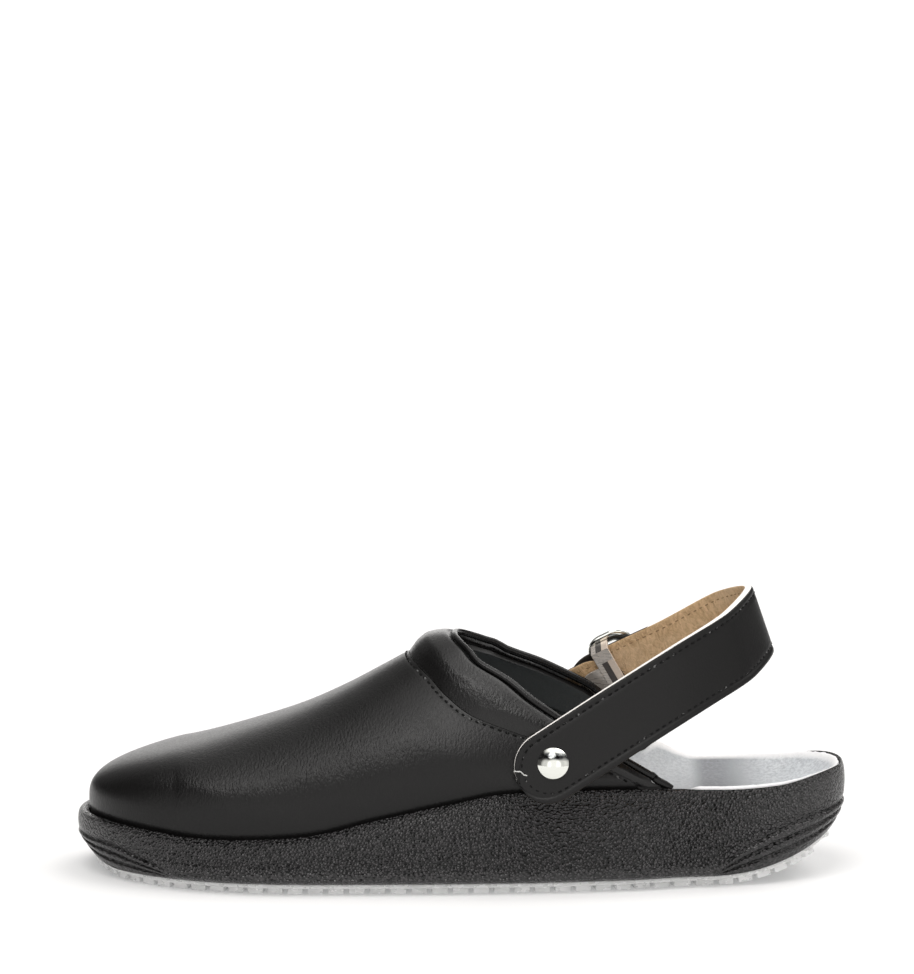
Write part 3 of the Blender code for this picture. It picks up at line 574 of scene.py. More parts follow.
def leather_paint(name, wrinkle=0.26, gloss=0.34, shine=0.27):
    """Smooth black leather: fine pores, short wrinkles across the grain, and a slightly uneven sheen."""
    paint = Paint(name)
    fine = paint.noise((1.3, 0.65, 0.5), detail=2.5, roughness=0.6)
    pores = paint.cells((1.3, 1.1, 1.1))
    broad = paint.noise((0.05, 0.05, 0.05), detail=2)
    wrinkled = paint.math("MULTIPLY", fine, paint.mask("zone"))
    return paint.dress(
        Base_Color=paint.blend(broad, (0.0036, 0.0034, 0.0035), (0.0053, 0.0050, 0.0049)),
        Roughness=paint.remap(fine, 0.3, 0.7, gloss - 0.03, gloss + 0.05), Specular_IOR_Level=shine,
        Normal=paint.bump(wrinkled, wrinkle, over=paint.bump(pores, 0.03)))


def lining_paint(name):
    """Black inner lining, matt and faintly ribbed."""
    paint = Paint(name)
    weave = paint.noise((1.2, 1.2, 1.2), detail=3)
    return paint.dress(
        Base_Color=paint.blend(weave, (0.024, 0.027, 0.027), (0.036, 0.04, 0.039)),
        Roughness=paint.remap(weave, 0.3, 0.7, 0.5, 0.66), Specular_IOR_Level=0.4,
        Normal=paint.bump(weave, 0.08))


def foam_paint(name):
    """Moulded black foam with pebbles that glint on their upper sides, smoother on the ribs and foot, with
    painted shade in the valleys.
    """
    paint = Paint(name)
    uneven = paint.noise((0.81, 0.81, 0.9), detail=2, roughness=0.6)
    apart = paint.cells((0.9, 0.9, 1.0))
    dome = paint.math("MULTIPLY", apart, apart)
    height = paint.math("SUBTRACT", paint.math("MULTIPLY", uneven, 0.5), dome)
    worn = paint.noise((0.05, 0.05, 0.08), detail=2)
    # Colour runs from near black in the valleys between the pebbles to dark grey on their tops: painted
    # shade.
    tone = paint.remap(height, -0.05, 0.25, 0.0, 1.0)
    return paint.dress(
        Base_Color=paint.blend(tone, (0.001, 0.001, 0.001), (0.027, 0.024, 0.026)),
        Roughness=paint.remap(worn, 0.3, 0.7, 0.15, 0.27), Specular_IOR_Level=0.6,
        Normal=paint.bump(paint.math("MULTIPLY", height, paint.mask("grain")), 1.75))


def rubber_paint(name):
    """Clear pale rubber, cloudy inside."""
    paint = Paint(name)
    cloud = paint.noise((0.16, 0.16, 0.3), detail=3)
    tone = paint.remap(cloud, 0.35, 0.6, 0.0, 1.0)
    return paint.dress(
        Base_Color=paint.blend(tone, (0.85, 0.86, 0.85), (0.99, 0.99, 0.99)),
        Roughness=paint.remap(cloud, 0.3, 0.7, 0.16, 0.4), Specular_IOR_Level=0.5,
        Normal=paint.bump(cloud, 0.15), Transmission_Weight=0.25, IOR=1.42,
        Subsurface_Weight=0.7, Subsurface_Scale=3 * MM, Subsurface_Radius=(1, 1, 1))


def suede_paint(name):
    """Pale suede with a brushed nap, painted shade that is darkest in a band across the heel, and a paler
    roughed cut edge.
    """
    paint = Paint(name)
    nap = paint.noise((0.8, 0.8, 0.8), detail=4, roughness=0.75)
    brushed = paint.noise((0.12, 0.1, 0.1), detail=3)
    tone = paint.blend(brushed, (0.58, 0.61, 0.64), (0.76, 0.79, 0.81))
    # Painted shade, darkest in a band across the heel.
    tone = paint.blend(paint.mask("insole_shade"), tone, (0.25, 0.26, 0.275))
    tone = paint.blend(paint.remap(nap, 0.38, 0.58, 0.6, 0.0), tone, (0.36, 0.38, 0.41))
    return paint.dress(Base_Color=paint.blend(paint.mask("edge"), tone, (0.98, 0.98, 0.99)),
                       Roughness=0.95, Specular_IOR_Level=0.2, Normal=paint.bump(nap, 0.5))


def pigskin_paint(name):
    """Tan pigskin lining with fine wrinkles and pores, paler where it is worn, and darker in the wrinkle
    troughs as painted shade.
    """
    paint = Paint(name)
    wrinkles = paint.noise((0.35, 0.6, 0.5), detail=5, roughness=0.7, distortion=1.2, flow=True)
    worn = paint.noise((0.06, 0.04, 0.06), detail=3, flow=True)
    pores = paint.cells((0.9, 0.9, 1), flow=True)
    # Colour follows the wrinkle height, darker in the troughs: painted shade in the creases.
    tone = paint.blend(paint.remap(wrinkles, 0.3, 0.7, 0.0, 1.0), (0.4, 0.245, 0.115), (0.8, 0.56, 0.33))
    return paint.dress(
        Base_Color=paint.blend(paint.remap(worn, 0.5, 0.75, 0.0, 0.6), tone, (0.7, 0.52, 0.34)),
        Roughness=paint.remap(wrinkles, 0.3, 0.7, 0.4, 0.6), Specular_IOR_Level=0.35,
        Normal=paint.bump(pores, 0.06, over=paint.bump(wrinkles, 0.55)))


def cut_edge_paint(name, core=(0.92, 0.86, 0.8), fibres=(0.99, 0.98, 0.96)):
    """Raw edge of the strap: fibres over a warmer core."""
    paint = Paint(name)
    fibre = paint.noise((0.7, 0.7, 1.6), detail=4, roughness=0.7)
    return paint.dress(Base_Color=paint.blend(fibre, core, fibres), Roughness=0.9, Specular_IOR_Level=0.25,
                       Normal=paint.bump(fibre, 0.15))


def metal_paint(name, base=(0.84, 0.85, 0.8), gloss=0.06, metallic=1.0):
    """Plated metal with faint scratches, and a painted dark reflection in spots where its mask says."""
    paint = Paint(name)
    scratch = paint.noise((0.2, 1.4, 1.4), detail=3)
    painted_spots = paint.remap(paint.noise((0.8, 0.8, 0.8), detail=2), 0.35, 0.55, 0.55, 1.0)
    plain = paint.blend(scratch, tuple(0.9 * c for c in base), base)
    # Painted reflection: darkens the plating to dark grey in spots, where the mask is set.
    painted_reflection = paint.math("MULTIPLY", painted_spots, paint.mask("painted_reflection"))
    return paint.dress(
        Base_Color=paint.blend(painted_reflection, plain, (0.1, 0.105, 0.11)), Metallic=metallic,
        Roughness=paint.remap(scratch, 0.3, 0.7, gloss, gloss + 0.06), Normal=paint.bump(scratch, 0.002))


def thread_paint(name, dark, pale, painted_glint):
    """Twisted sewing thread with a few painted highlights on it."""
    paint = Paint(name)
    wave = {"Vector": paint.place((2.2, 2.2, 2.2)), "Distortion": 1.5}
    twist = paint.node("TexWave", wave).outputs["Fac"]
    # Painted highlights: sparse spots take the glint colour.
    painted_spots = paint.remap(paint.noise((0.5, 0.5, 0.5), detail=1), 0.6, 0.68, 0.0, 1.0)
    return paint.dress(Base_Color=paint.blend(painted_spots, paint.blend(twist, dark, pale), painted_glint),
                       Roughness=0.6, Specular_IOR_Level=0.15, Normal=paint.bump(twist, 0.08))


LEATHER = leather_paint("vamp_leather")
COLLAR_LEATHER = leather_paint("collar_leather", wrinkle=0.25, gloss=0.29, shine=0.36)
STRAP_LEATHER = leather_paint("strap_leather", wrinkle=0.05, gloss=0.42)
BINDING_LEATHER = leather_paint("binding_leather", wrinkle=0.07, gloss=0.26)
LINING = lining_paint("black_lining")
FOAM = foam_paint("pebbled_foam")
RUBBER = rubber_paint("clear_rubber_cloudy")
SUEDE = suede_paint("brushed_suede")
PIGSKIN = pigskin_paint("pigskin_lining")
CUT_EDGE = cut_edge_paint("cut_edge")
DARK_EDGE = cut_edge_paint("dark_edge", (0.012, 0.010, 0.009), (0.04, 0.032, 0.026))
METAL = metal_paint("plated_metal")
# Satin copies of the metal for the clasp: a light one as painted highlight on one strip, a dark one as
# painted shade on the next, a dull one for the rest.
DULL_METAL = metal_paint("dull_metal", base=(0.6, 0.55, 0.5), gloss=0.25, metallic=0.55)
HIGHLIGHT_METAL = metal_paint("highlit_metal_strip", base=(0.8, 0.67, 0.56), gloss=0.2, metallic=0.5)
SHADE_METAL = metal_paint("shaded_metal_strip", base=(0.09, 0.08, 0.075), gloss=0.2, metallic=0.6)
# The third colour of each thread is its painted highlight.
THREAD = thread_paint("black_thread", (0.002, 0.002, 0.002), (0.008, 0.008, 0.008), (0.2, 0.2, 0.2))
LINING_THREAD = thread_paint("brown_thread", (0.26, 0.16, 0.08), (0.4, 0.26, 0.14), (0.5, 0.34, 0.2))
PALE_THREAD = thread_paint("pale_thread", (0.6, 0.6, 0.58), (0.9, 0.9, 0.88), (0.95, 0.95, 0.93))


# Sole

def close_ring(count, start):
    """Faces that close a ring of columns, from its lateral to its medial side."""
    half = count // 2
    left = np.arange(0, half + 1) + start
    right = joined([0], np.arange(count - 1, half - 1, -1)) + start
    return abreast(left[:-1], right[:-1], right[1:], left[1:])


def span(ring, across, height):
    """Points and faces of a sheet across a ring, at a height for each place."""
    rows = len(ring) // 2
    left = ring[:rows + 1]
    right = joined(ring[:1], ring[:rows - 1:-1])
    sheet = left + (right - left) * np.linspace(0, 1, across)[:, None, None]
    inner = sheet[1:-1]
    inner[..., 2] = height(inner[..., 0], inner[..., 1])
    return sheet.reshape(-1, 3), grid_faces(across, rows + 1)


def sole_level(x, y):
    """Height of the midsole's foot, level from side to side."""
    return bottom_z(x + SOLE_LENGTH / 2)


def build_midsole():
    outline = Outline(MIDSOLE_STATIONS)
    from_toe, rim, heel = outline.from_toe, outline.rim, outline.heel
    tuck = TUCK.read("bottom", from_toe)
    rings = [outline.ring(tuck, sole_level)]
    foot = rings[0][:, 2]
    count = len(foot)
    groove = np.maximum(GROOVE.read("height", from_toe), foot + PLAIN_FOOT)
    rib = RIB_DEPTH * np.clip((groove - foot - PLAIN_FOOT) / RIB_FADE, 0, 1)
    grain = [np.full(count, FOOT_GRAIN)]
    for share in np.linspace(0, 1, RIB_RINGS)[1:]:
        valley = np.abs(np.cos(share * RIBS * math.pi)) ** RIB_SHARPNESS if share > 0.1 else 0
        valley *= abs(math.sin(share * RIBS * math.pi / 2)) ** 0.3 if share < 1 / (2 * RIBS) else 1
        inset = tuck * (1 - share) ** TUCK_CURVE + rib * valley
        rings.append(outline.ring(inset, foot + (groove - foot) * share))
        grain.append(np.full(count, RIB_GRAIN))
    for along in np.linspace(0, 1, WALL_RINGS)[1:]:
        inset = WALL.read("inset", along) * (1 - 0.5 * heel * smoothstep(0.6, 1, along))
        if along <= 0.3:
            inset = inset * np.clip(rib / RIB_DEPTH, 0.25, 1)
        z = groove + (rim - groove) * WALL.read("share", along)
        rings.append(outline.ring(inset, z))
        grain.append(RIB_GRAIN + (1 - RIB_GRAIN) * smoothstep(0.5, 5.0, z - groove))
    width = RIM_WIDTH + (HEEL_RIM_WIDTH - RIM_WIDTH) * heel
    rings.append(outline.ring(width - 0.1, rim - 0.7 + 0.2 * heel))
    rings += [outline.ring(inset, bed_z) for inset in (width, width + 1.5)]
    bed, bed_faces = span(rings[-1], 20, bed_z)
    grain.append(np.full(3 * count + len(bed), BED_GRAIN))
    faces = joined(grid_faces(len(rings), count, wrap=True), close_ring(count, 0),
                   bed_faces + len(rings) * count)
    piece("midsole_skin", joined(*rings, bed), faces, [FOAM], "midsole",
          masks={"grain": np.concatenate(grain)})


def insole_level(rise):
    """Height of the insole for each place, at a share of its thickness."""
    return lambda x, y: bed_z(x, y) + GAP + INSOLE_THICKNESS * rise


def build_insole():
    outline = Outline(INSOLE_STATIONS)
    heel = outline.heel
    inset = INSOLE_INSET + (HEEL_INSOLE_INSET - INSOLE_INSET) * heel
    count = len(inset)
    fray = np.random.default_rng(4).normal(0, INSOLE_FRAY, count)
    rings, edge = [], []
    for step, rise, pale in INSOLE_EDGE.rows():
        rings.append(outline.ring(inset + step + fray * (0.1 < rise) * (step < 2), insole_level(rise)))
        edge.append(pale * heel)
    top, top_faces = span(rings[-1], 44, insole_level(1))
    low, low_faces = span(rings[0], 20, insole_level(0))
    start = len(rings) * count
    faces = joined(grid_faces(len(rings), count, wrap=True), top_faces + start,
                   low_faces + start + len(top))
    points = joined(*rings, top, low)
    x = points[:, 0]
    # Painted shade: light over the front of the insole, a dark band across the heel, none at the back.
    insole_shade = 0.3 + smoothstep(*INSOLE_SHADE_START, x) * (0.68 - 0.98 * smoothstep(*INSOLE_SHADE_END, x))
    piece("insole_skin", points, faces, [SUEDE], "insole", sharp=50,
          masks={"edge": joined(*edge, np.zeros(len(top) + len(low))), "insole_shade": insole_shade})


def build_outsole():
    """Plate with edge lugs all round and cross bars, every lug with softened edges."""
    outline = Outline(LUG_STATIONS)
    inset = TUCK.read("outsole", outline.from_toe)
    count = len(inset)
    top = lambda x, y: sole_level(x, y) - GAP
    low = lambda x, y: top(x, y) - OUTSOLE_PLATE
    points = [outline.ring(inset, top), outline.ring(inset, low), outline.ring(inset + LUG_BAND, low)]
    plain = joined(grid_faces(2, count, wrap=True), close_ring(count, 0))
    band = grid_faces(2, count, wrap=True, start=count)
    bars = close_ring(count, 2 * count)
    thing = piece("outsole_skin", np.concatenate(points), joined(plain, band, bars), [RUBBER],
                  "outsole", sharp=30)
    work = bmesh.new()
    work.from_mesh(thing.data)
    work.faces.ensure_lookup_table()
    wide = lambda face: min(edge.calc_length() for edge in face.edges) > 4 * LUG_MARGIN * MM
    lugs = [f for f in list(work.faces)[len(plain):] if len(f.verts) == 4 and wide(f)]
    bmesh.ops.inset_individual(work, faces=lugs, thickness=LUG_MARGIN * MM, use_even_offset=True)
    for face in bmesh.ops.extrude_discrete_faces(work, faces=lugs)["faces"]:
        bmesh.ops.translate(work, verts=face.verts, vec=face.normal * LUG_HEIGHT * MM)
    work.to_mesh(thing.data)
    work.free()
    soften(thing, LUG_SOFTNESS, 2)


# Upper, collar and binding

HEIGHTS = joined(np.linspace(0, BELT_SHARE, 15)[:-1], np.linspace(BELT_SHARE, 1, 76))
COLUMNS = joined(np.linspace(0, FIRST_FINE_COLUMN, 150)[:-1],
                 np.linspace(FIRST_FINE_COLUMN, SEAM_COLUMN - SEAM_HALF, 16),
                 np.linspace(SEAM_COLUMN + SEAM_HALF, 1, 14))
FOLDS = Table(
    "share height length width depth lean",
    (0.30, 0.34, 0.10, 0.03, 0.08, 0.1), (0.45, 0.30, 0.08, 0.03, 0.1, -0.1),
    (0.60, 0.36, 0.09, 0.025, 0.1, 0.15), (0.72, 0.55, 0.12, 0.02, 0.08, 0.2),
    (0.80, 0.50, 0.12, 0.02, 0.1, 0.2))


def fold_depth(share, height):
    """Soft troughs and the ridges beside them, each placed along the upper where the table lists it."""
    depth = np.zeros(np.broadcast(share, height).shape)
    for at, up, length, width, deep, lean in FOLDS.rows():
        along = share - at - lean * (height - up)
        across = bell(height, up, length)
        depth += deep * across * (bell(along, 0, width) - 0.6 * bell(along, 2 * width, width))
    return depth


def shell_faces(rows, columns, borders=4):
    """Faces of a body between two grids of points, and a number for each: outer 0, inner 1, edge 0.

    borders is how many of the four sides get a wall: three for the upper, whose halves meet at the crest.
    """
    size = rows * columns
    outer, inner = grid_faces(rows, columns), grid_faces(rows, columns, start=size)
    ends = (np.arange(columns), np.arange(columns) + size - columns,
            np.arange(rows) * columns, np.arange(rows) * columns + columns - 1)
    edges = [abreast(a[:-1], a[1:], a[1:] + size, a[:-1] + size) for a in ends[:borders]]
    faces = joined(outer, inner, *edges)
    kind = np.zeros(len(faces), int)
    kind[len(outer):len(outer) + len(inner)] = 1
    return faces, kind


def build_upper():
    """Vamp and wings as one wall, stepped in behind the seam under the collar."""
    face, normal, zone = {}, {}, {}
    column = COLUMNS[:, None]
    height = np.broadcast_to(HEIGHTS, (len(COLUMNS), len(HEIGHTS)))
    for side in SIDES:
        share = follow_seam(side, column, height)
        lift = -SEAM_STEP * (column > SEAM_COLUMN) * np.clip(height / BELT_SHARE, 0, 1)
        lift = lift - fold_depth(share, height)
        lift = lift - STITCH_DIP * bell(column, STITCH_COLUMN, 0.004) * smoothstep(0.15, 0.3, height)
        lift = lift - BASE_TUCK * (1 - smoothstep(0.08, 0.17, height)) * (column < SEAM_COLUMN)
        flex = bell(share, 0.5, 0.28) * bell(height, 0.5, 0.28)
        zone[side] = 0.15 + 1.5 * flex
        normal[side] = upper_normal(side, share, height)
        face[side] = upper_point(side, share, height) + normal[side] * lift[..., None]
    crest = (face[LATERAL][:, -1] + face[MEDIAL][:, -1]) / 2
    crest[:, 1] = SPINE_Y
    crest_normal = unit(normal[LATERAL][:, -1] + normal[MEDIAL][:, -1])
    tip = np.searchsorted(COLUMNS, SECTIONS.knots[1])
    crest_normal[:tip] = crest_normal[tip]
    for side in SIDES:
        face[side][:, -1] = crest
        normal[side][:, -1] = crest_normal
    join = lambda part: joined(part[LATERAL][::-1], part[MEDIAL][1:])
    outer, inner = join(face), join(face) - UPPER_WALL * join(normal)
    faces, kind = shell_faces(*outer.shape[:2], borders=3)
    piece("upper_skin", joined(outer, inner).reshape(-1, 3), faces, [LEATHER, LINING], "upper",
          face_paint=kind, masks={"zone": np.tile(join(zone).ravel(), 2)}, sharp=60)


def flank(side, column, heights):
    """Points up one side of the upper along one column, and the normals there."""
    share = follow_seam(side, column, heights)
    return upper_point(side, share, heights), upper_normal(side, share, heights)


def arch(column, heights, lift):
    """Row of points across the upper along one column, lateral base to medial base, lifted off its face."""
    rows = []
    for side in SIDES:
        points, normal = flank(side, column, heights)
        rows.append(points + normal * np.reshape(lift, (-1, 1)))
    crest = (rows[0][-1] + rows[1][-1]) / 2
    return joined(rows[0][:-1], [crest], rows[1][-2::-1])


def build_collar():
    """Padded panel with soft ripples where it bends, dipping into a groove beside the rolled edge."""
    heights = joined(np.linspace(0.13, 0.985, 110), [1.0])
    places = joined(np.linspace(0, 0.9, 34)[:-1], np.linspace(0.9, 1, 10))
    across = there_and_back(heights)
    outer, inner, zone = [], [], []
    for place in places:
        column = SEAM_COLUMN + COLLAR_MARGIN + place * (1 - COLLAR_MARGIN - SEAM_COLUMN)
        short = np.sin(64 * heights + 6 * place) * bell(heights, 0.62, 0.16) * bell(place, 0.55, 0.3)
        long = np.sin(31 * heights + 2) * bell(place, 0.75, 0.22) * bell(heights, 0.5, 0.25)
        ripple = SHORT_RIPPLE * short + LONG_RIPPLE * long
        groove = COLLAR_GROOVE * smoothstep(0.93, 1, place) * smoothstep(0.2, 0.3, heights)
        outer.append(arch(column, heights, collar_lift(place, heights) + ripple - groove))
        inner.append(arch(column, heights, np.full(len(heights), COLLAR_GAP - SEAM_STEP)))
        zone.append(0.3 + bell(across, 0.6, 0.2) * bell(place, 0.55, 0.4))
    faces, _ = shell_faces(len(places), len(outer[0]))
    thing = piece("collar_pad", np.concatenate(outer + inner), faces, [COLLAR_LEATHER], "collar",
                  masks={"zone": np.concatenate(zone * 2)}, sharp=60)


def tube(name, path, radius, paints, node=None, sides=20, closed=False, flat=1.0):
    """Cord along a path, with a radius that may change along it, broader in the path's plane by flat."""
    ahead = unit(np.gradient(path, axis=0))
    if closed:
        ahead = unit(np.roll(path, -1, axis=0) - np.roll(path, 1, axis=0))
    aside = unit(np.cross(ahead, [0.2, 0.3, 1.0]))
    points = hoops(path, flat * aside, np.cross(ahead, aside), radius, sides).reshape(-1, 3)
    faces = grid_faces(len(path), sides, wrap=True)
    if closed:
        first = np.arange(sides)
        last = first + (len(path) - 1) * sides
        joint = abreast(last, np.roll(last, -1), np.roll(first, -1), first)
        faces = joined(faces, joint)
    return piece(name, points, faces, paints, node, masks={"zone": np.ones(len(points))})


def build_binding():
    """Rolled edge past the throat edge, level with the collar, down to the rim on both sides."""
    heights = joined(np.linspace(0.055, 0.97, 160), [1.0])
    lift = collar_lift(1.0, heights) - BINDING_RADIUS
    middle = arch(1.0, heights, lift)
    along = unit(np.gradient(middle, axis=0))
    away = middle - arch(0.99, heights, lift)
    away = unit(away - along * np.sum(away * along, axis=1, keepdims=True))
    radius = BINDING_RADIUS * (1.15 - 0.25 * smoothstep(0.5, 0.95, heights))
    reach = BINDING_RADIUS + 2 * GAP * smoothstep(0.12, 0.2, heights)
    path = middle + away * there_and_back(reach)[:, None]
    tube("binding_roll", path, there_and_back(radius), [BINDING_LEATHER], "binding")


def build_seam_stitches():
    heights = joined(np.linspace(0.16, 0.985, 160), [1.0])
    rows, normals = [], []
    for side in SIDES:
        points, normal = flank(side, STITCH_COLUMN, heights)
        rows.append(points - STITCH_SINK * normal)
        normals.append(normal)
    path = joined(rows[0][:-1], rows[1][::-1])
    normal = joined(normals[0][:-1], normals[1][::-1])
    stitches("seam_stitches", path, normal, THREAD, *SEAM_STITCH, lift=0.1)


# Strap, tab, buckle and rivets

FRONT, PALE, DARK, BACK = range(4)


class Band:
    """Strap along the route between two marks, with round ends."""

    def __init__(self, start, end, width, thickness, lift):
        self.marks = np.linspace(start, end, 800)
        self.arc = arc_length(strap_point(self.marks))
        self.length, self.radius = self.arc[-1], width / 2
        self.thickness, self.lift = thickness, lift

    def at(self, run, across, depth):
        centre, up, normal = strap_frame(np.interp(run, self.arc, self.marks))
        middle = centre + up * np.reshape(across, (-1, 1))
        return middle + normal * np.reshape(self.lift + depth, (-1, 1)), normal

    def profile(self):
        """Points round the section: side, inset from the edge, depth and paint."""
        flat = self.thickness / 2
        inset, fall = STRAP_EDGE.columns.values()
        points = [(1, STRAP_SKIVE + i, flat - f, FRONT) for i, f in zip(inset, fall)]
        points += [(-1, i, flat - f, FRONT) for i, f in zip(inset[::-1], fall[::-1])]
        points += [(-1, -0.02, d * flat, DARK) for d in (0.5, -0.1, -0.7)]
        points += [(-1, i, f - flat, BACK) for i, f in zip(inset, fall * 0.6)]
        points += [(1, i, f - flat, BACK) for i, f in zip(inset[::-1], fall[::-1] * 0.6)]
        return points + [(1, 0.05, -0.5 * flat, PALE), (1, 0.3, 0, PALE),
                         (1, 0.75 * STRAP_SKIVE, 0.45 * flat, PALE)]

    def build(self, name, node, stitch_inset, pale_run, lined_run):
        """Leather, raw edge that is pale at the top up to pale_run, and lining up to lined_run."""
        rounding = self.radius * (1 - np.cos(np.linspace(0.12, math.pi / 2, 22)))
        middle = np.linspace(self.radius, self.length - self.radius, int(self.length / 1.6))[1:-1]
        runs = joined(rounding, middle, (self.length - rounding)[::-1])
        reach = np.minimum(np.minimum(runs, self.length - runs), self.radius) / self.radius
        half = {side: self.radius * cap(reach, power) for side, power in STRAP_END_POWER.items()}
        profile = self.profile()
        loops, flow = [], []
        for side, edge, depth, _ in profile:
            across = side * np.maximum(half[side] - edge, 0.02 * half[side])
            depths = np.full(len(runs), depth)
            loops.append(self.at(runs, across, depths)[0])
            flow.append(abreast(across, runs, depths))
        grid = np.stack(loops, axis=1)
        count = len(profile)
        kinds = np.array([p[3] for p in profile])
        after = np.roll(kinds, -1)
        kinds = np.where(kinds == after, kinds, np.where((kinds == PALE) | (after == PALE), PALE, DARK))
        kind = np.tile(kinds, (len(runs) - 1, 1))
        kind[(kind == PALE) & (runs[:-1, None] > pale_run)] = DARK
        kind[(kind == BACK) & (runs[:-1, None] > lined_run)] = DARK
        lip = np.arange(1, count // 2)
        cover = abreast(lip, lip + 1, count - 1 - lip, count - lip)
        ends = joined(cover, cover + (len(runs) - 1) * count)
        kind = joined(kind.ravel(), np.full(len(ends), DARK))
        faces = joined(grid_faces(len(runs), count, wrap=True), ends)
        piece(name, grid.reshape(-1, 3), faces, [STRAP_LEATHER, CUT_EDGE, DARK_EDGE, PIGSKIN], node,
              face_paint=kind, masks={"zone": np.full(grid.shape[0] * count, 0.4)},
              flow=np.stack(flow, axis=1).reshape(-1, 3), sharp=70)
        for label, face, thread, stitch in (("outer", 1, THREAD, OUTER_STITCH),
                                            ("inner", -1, LINING_THREAD, INNER_STITCH)):
            path, normal = self.stitch_path(stitch_inset, face)
            stitches(f"{name}_{label}_stitches", path, normal * face, thread, *stitch)

    def stitch_path(self, inset, face):
        radius = self.radius - inset
        turn = np.linspace(-math.pi / 2, math.pi / 2, 40)
        straight = np.linspace(self.radius, self.length - self.radius, 300)
        edge, swing, reach = np.full(len(straight), radius), radius * np.sin(turn), radius * np.cos(turn)
        run = joined(straight, self.length - self.radius + reach[::-1], straight[::-1],
                     self.radius - reach)
        across = joined(edge, swing[::-1], -edge, swing)
        return self.at(run, across, np.full(len(run), face * (self.thickness / 2 - STITCH_SINK)))


def place(mark):
    """Matrix of a fitting on the strap: X along it, Y up across it, Z outwards, in metres."""
    centre, up, normal = (v[0] for v in strap_frame(np.array([mark])))
    axes = np.column_stack((np.cross(up, normal), up, normal))
    return Matrix.Translation(Vector(centre * MM)) @ Matrix(axes.tolist()).to_4x4()


def put(thing, mark):
    """Bakes the fitting's place into its mesh."""
    thing.data.transform(place(mark))


def build_rivet(side):
    mark, reach = RIVET_MARK[side], RIVET_REACH[side]
    turn = np.linspace(0, 2 * math.pi, RIVET_SIDES, endpoint=False)
    dome = [(RIVET_HEAD * r, RIVET_EDGE + (RIVET_DOME - RIVET_EDGE) * (1 - r ** 2.2))
            for r in np.linspace(0.01, 1, 26)]
    lip = [(RIVET_HEAD, 0.12), (RIVET_HEAD - 0.12, 0), (RIVET_SHANK, 0), (RIVET_SHANK, -reach)]
    end = -reach - RIVET_WASHER_THICKNESS
    washer = [(RIVET_WASHER - 0.2, -reach), (RIVET_WASHER, -reach - 0.2), (RIVET_WASHER, -reach - 0.8),
              (RIVET_WASHER - 0.3, end), (0.05, end)]
    profile = np.array(dome + lip + washer)
    rings = abreast(profile[:, :1] * np.cos(turn), profile[:, :1] * np.sin(turn),
                    RIVET_LIFT[side] + profile[:, 1:] + 0 * turn)
    points = rings.reshape(-1, 3)
    height = points[:, :2] @ np.array(place(mark))[2, :2] / RIVET_HEAD
    # Painted reflection: a dark band across the upper part of the dome.
    painted_reflection = smoothstep(0.12, 0.3, height) * (1 - smoothstep(0.55, 0.75, height))
    faces = grid_faces(len(profile), RIVET_SIDES, wrap=True)
    thing = piece("rivet_cap_" + SIDES[side], points, faces, [METAL], "rivet_" + SIDES[side],
                  masks={"painted_reflection": painted_reflection}, sharp=40)
    put(thing, mark)


def build_buckle():
    path = []
    for along, across, start in ((1, 1, 0), (-1, 1, 90), (-1, -1, 180), (1, -1, 270)):
        centre = np.array([along * (LOOP_LENGTH / 2 - LOOP_CORNER) - LOOP_TO_HEEL,
                           across * (LOOP_WIDTH / 2 - LOOP_NARROWER - LOOP_CORNER)])
        for angle in np.radians(np.linspace(start, start + 90, 16)):
            path.append((*(centre + LOOP_CORNER * np.array([math.cos(angle), math.sin(angle)])), 0))
    lift = STRAP_THICKNESS / 2 + GAP + LOOP_WIRE
    loop = tube("buckle_loop", np.array(path) + [0, 0, lift], LOOP_WIRE, [METAL], "buckle_frame",
                sides=18, closed=True, flat=2.0)
    put(loop, BUCKLE_MARK)

    inner = TAB_LIFT - TAB_THICKNESS / 2 - GAP
    outer = inner - PLATE_THICKNESS
    half = STRAP_WIDTH / 2 + GAP
    wide = half + PLATE_THICKNESS
    channel = [(-wide, outer), (BAR_TOP, outer), (wide, outer), (wide, PLATE_EAR), (half, PLATE_EAR),
               (half, inner), (-half, inner), (-half, PLATE_EAR), (-wide, PLATE_EAR)]
    radius = TONGUE_WIDTH / 2
    reach = PLATE_LENGTH / 2 + TONGUE_LENGTH - radius
    tongue = [(0, -radius), *((reach + radius * math.cos(a), radius * math.sin(a))
                              for a in np.linspace(-math.pi / 2, math.pi / 2, 33)), (0, radius)]
    level = (inner + outer - TONGUE_THICKNESS) / 2
    # The channel is painted in three strips along its length: light as painted highlight, dark as painted
    # shade, then dull.
    cuts = (-PLATE_LENGTH / 2, *SHADE_STRIP, PLATE_LENGTH / 2)
    work = bmesh.new()
    for shape, levels, order, strips in ((channel, cuts, (2, 0, 1), (0, 1, 2)),
                                         (tongue, (level, level + TONGUE_THICKNESS), (0, 1, 2), (2,))):
        rings = [[work.verts.new([(*p, end)[i] * MM for i in order]) for p in shape] for end in levels]
        for low, high, strip in zip(rings[:-1], rings[1:], strips):
            for i in range(len(shape)):
                j = (i + 1) % len(shape)
                paint = strip if shape[i] != (BAR_TOP, outer) else 2
                work.faces.new((low[i], low[j], high[j], high[i])).material_index = paint
        for ring, strip in ((rings[0], strips[0]), (rings[-1], strips[-1])):
            work.faces.new(ring).material_index = strip
    bmesh.ops.recalc_face_normals(work, faces=work.faces)
    mesh = bpy.data.meshes.new("buckle_clasp")
    work.to_mesh(mesh)
    work.free()
    for paint in (HIGHLIGHT_METAL, SHADE_METAL, DULL_METAL):
        mesh.materials.append(paint)
    clasp = show("buckle_clasp", mesh)
    put(clasp, BUCKLE_MARK)
    soften(clasp, CLASP_SOFTNESS, 3)
    settle(clasp, "buckle_plate")


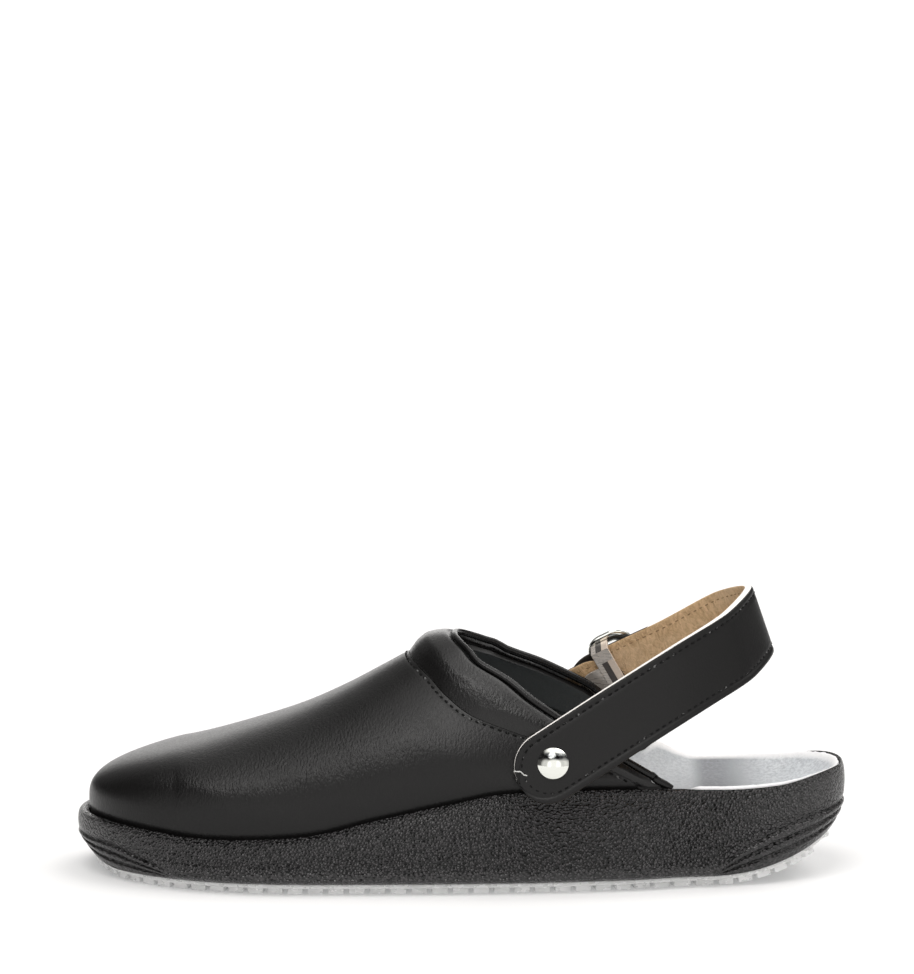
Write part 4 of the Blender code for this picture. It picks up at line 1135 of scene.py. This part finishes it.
def build_strap():
    strap = Band(0, STRAP_TIP_MARK, STRAP_WIDTH, STRAP_THICKNESS, 0)
    pale_run, lined_run = np.interp((PALE_EDGE_MARK, LINING_MARK), strap.marks, strap.arc)
    strap.build("strap_leather", "heel_strap", STRAP_STITCH_INSET, pale_run, lined_run)
    tab = Band(*TAB_MARKS, TAB_WIDTH, TAB_THICKNESS, TAB_LIFT)
    tab.build("tab_leather", "strap_tab", TAB_STITCH_INSET, 0, tab.length)
    rough = strap.at(*STRAY_STITCH.columns.values())[0]
    knots = np.arange(len(rough))
    path = between(np.linspace(0, knots[-1], 40), knots, rough)
    tube("stray_stitch", path, 0.22, [PALE_THREAD], sides=8)


build_midsole()
build_insole()
build_outsole()
build_upper()
build_collar()
build_binding()
build_seam_stitches()
build_strap()
for rivet_side in SIDES:
    build_rivet(rivet_side)
build_buckle()


# Floor, light and camera

FLOOR_REACH = 30.0


def build_floor():
    """White floor that glows a little, so that it reads as white paper with only a faint shadow."""
    mesh = bpy.data.meshes.new("floor")
    corners = ((-1, -1), (1, -1), (1, 1), (-1, 1))
    mesh.from_pydata([(FLOOR_REACH * x, FLOOR_REACH * y, 0) for x, y in corners], [], [(0, 1, 2, 3)])
    mesh.materials.append(Paint("floor_paint").dress(
        Roughness=0.9, Specular_IOR_Level=0.0, Base_Color=(0.72, 0.72, 0.72),
        Emission_Color=(1.0, 1.0, 1.0), Emission_Strength=0.2))
    floor = show("floor", mesh)


GLOWS = Table(
    "azimuth elevation inner outer level",
    (0, 8, 22, 42, 1.15), (45, 10, 10, 40, 0.75), (-45, 10, 10, 34, 0.75), (-22, 61, 6, 22, 6.0),
    (-85, 72, 6, 26, 1.05), (180, 80, 8, 30, 0.8), (180, 4, 4, 24, 2.2), (-150, 30, 6, 30, 0.2),
    (90, 15, 10, 40, 0.3), (-90, 15, 10, 40, 0.06), (180, 45, 8, 30, 0.4), (125, 52, 8, 30, 2.2),
    (85, 66, 6, 28, 1.9))
ROOM, ROOM_COLOUR = 0.02, (1.0, 0.985, 0.97)
LENS, SENSOR = 173.39, 36.0
CAMERA_PLACE = (-0.0001, -1.7149, 0.3633)
CAMERA_TILT, CAMERA_PAN = -7.325, 0.04


def build_light():
    """Soft glows in a dim room: azimuth from the front towards the heel, elevation and sizes in degrees."""
    world = bpy.data.worlds.new("studio")
    bpy.context.scene.world = world
    world.use_nodes = True
    tree = world.node_tree
    way = add_node(tree, "TexCoord", {}).outputs["Generated"]
    total = ROOM
    for azimuth, elevation, inner, outer, level in GLOWS.rows():
        turn, tilt = math.radians(azimuth), math.radians(elevation)
        aim = (math.sin(turn) * math.cos(tilt), -math.cos(turn) * math.cos(tilt), math.sin(tilt))
        facing = add_node(tree, "VectorMath", {0: way, 1: aim}, operation="DOT_PRODUCT").outputs["Value"]
        edges = {"From Min": math.cos(math.radians(outer)), "From Max": math.cos(math.radians(inner))}
        glow = add_node(tree, "MapRange", {"Value": facing, **edges, "To Min": 0, "To Max": level},
                        interpolation_type="SMOOTHSTEP").outputs["Result"]
        total = add_node(tree, "Math", {0: glow, 1: total}, operation="ADD").outputs[0]
    background = tree.nodes["Background"]
    plug(tree, background.inputs["Strength"], total)
    plug(tree, background.inputs["Color"], ROOM_COLOUR)


def build_camera():
    data = bpy.data.cameras.new("camera")
    data.lens = LENS
    data.sensor_width = SENSOR
    camera = show("camera", data)
    camera.location = CAMERA_PLACE
    camera.rotation_euler = (math.radians(90 + CAMERA_TILT), 0, math.radians(CAMERA_PAN))
    bpy.context.scene.camera = camera
    bpy.context.scene.view_settings.view_transform = "Standard"


build_floor()
build_light()
build_camera()
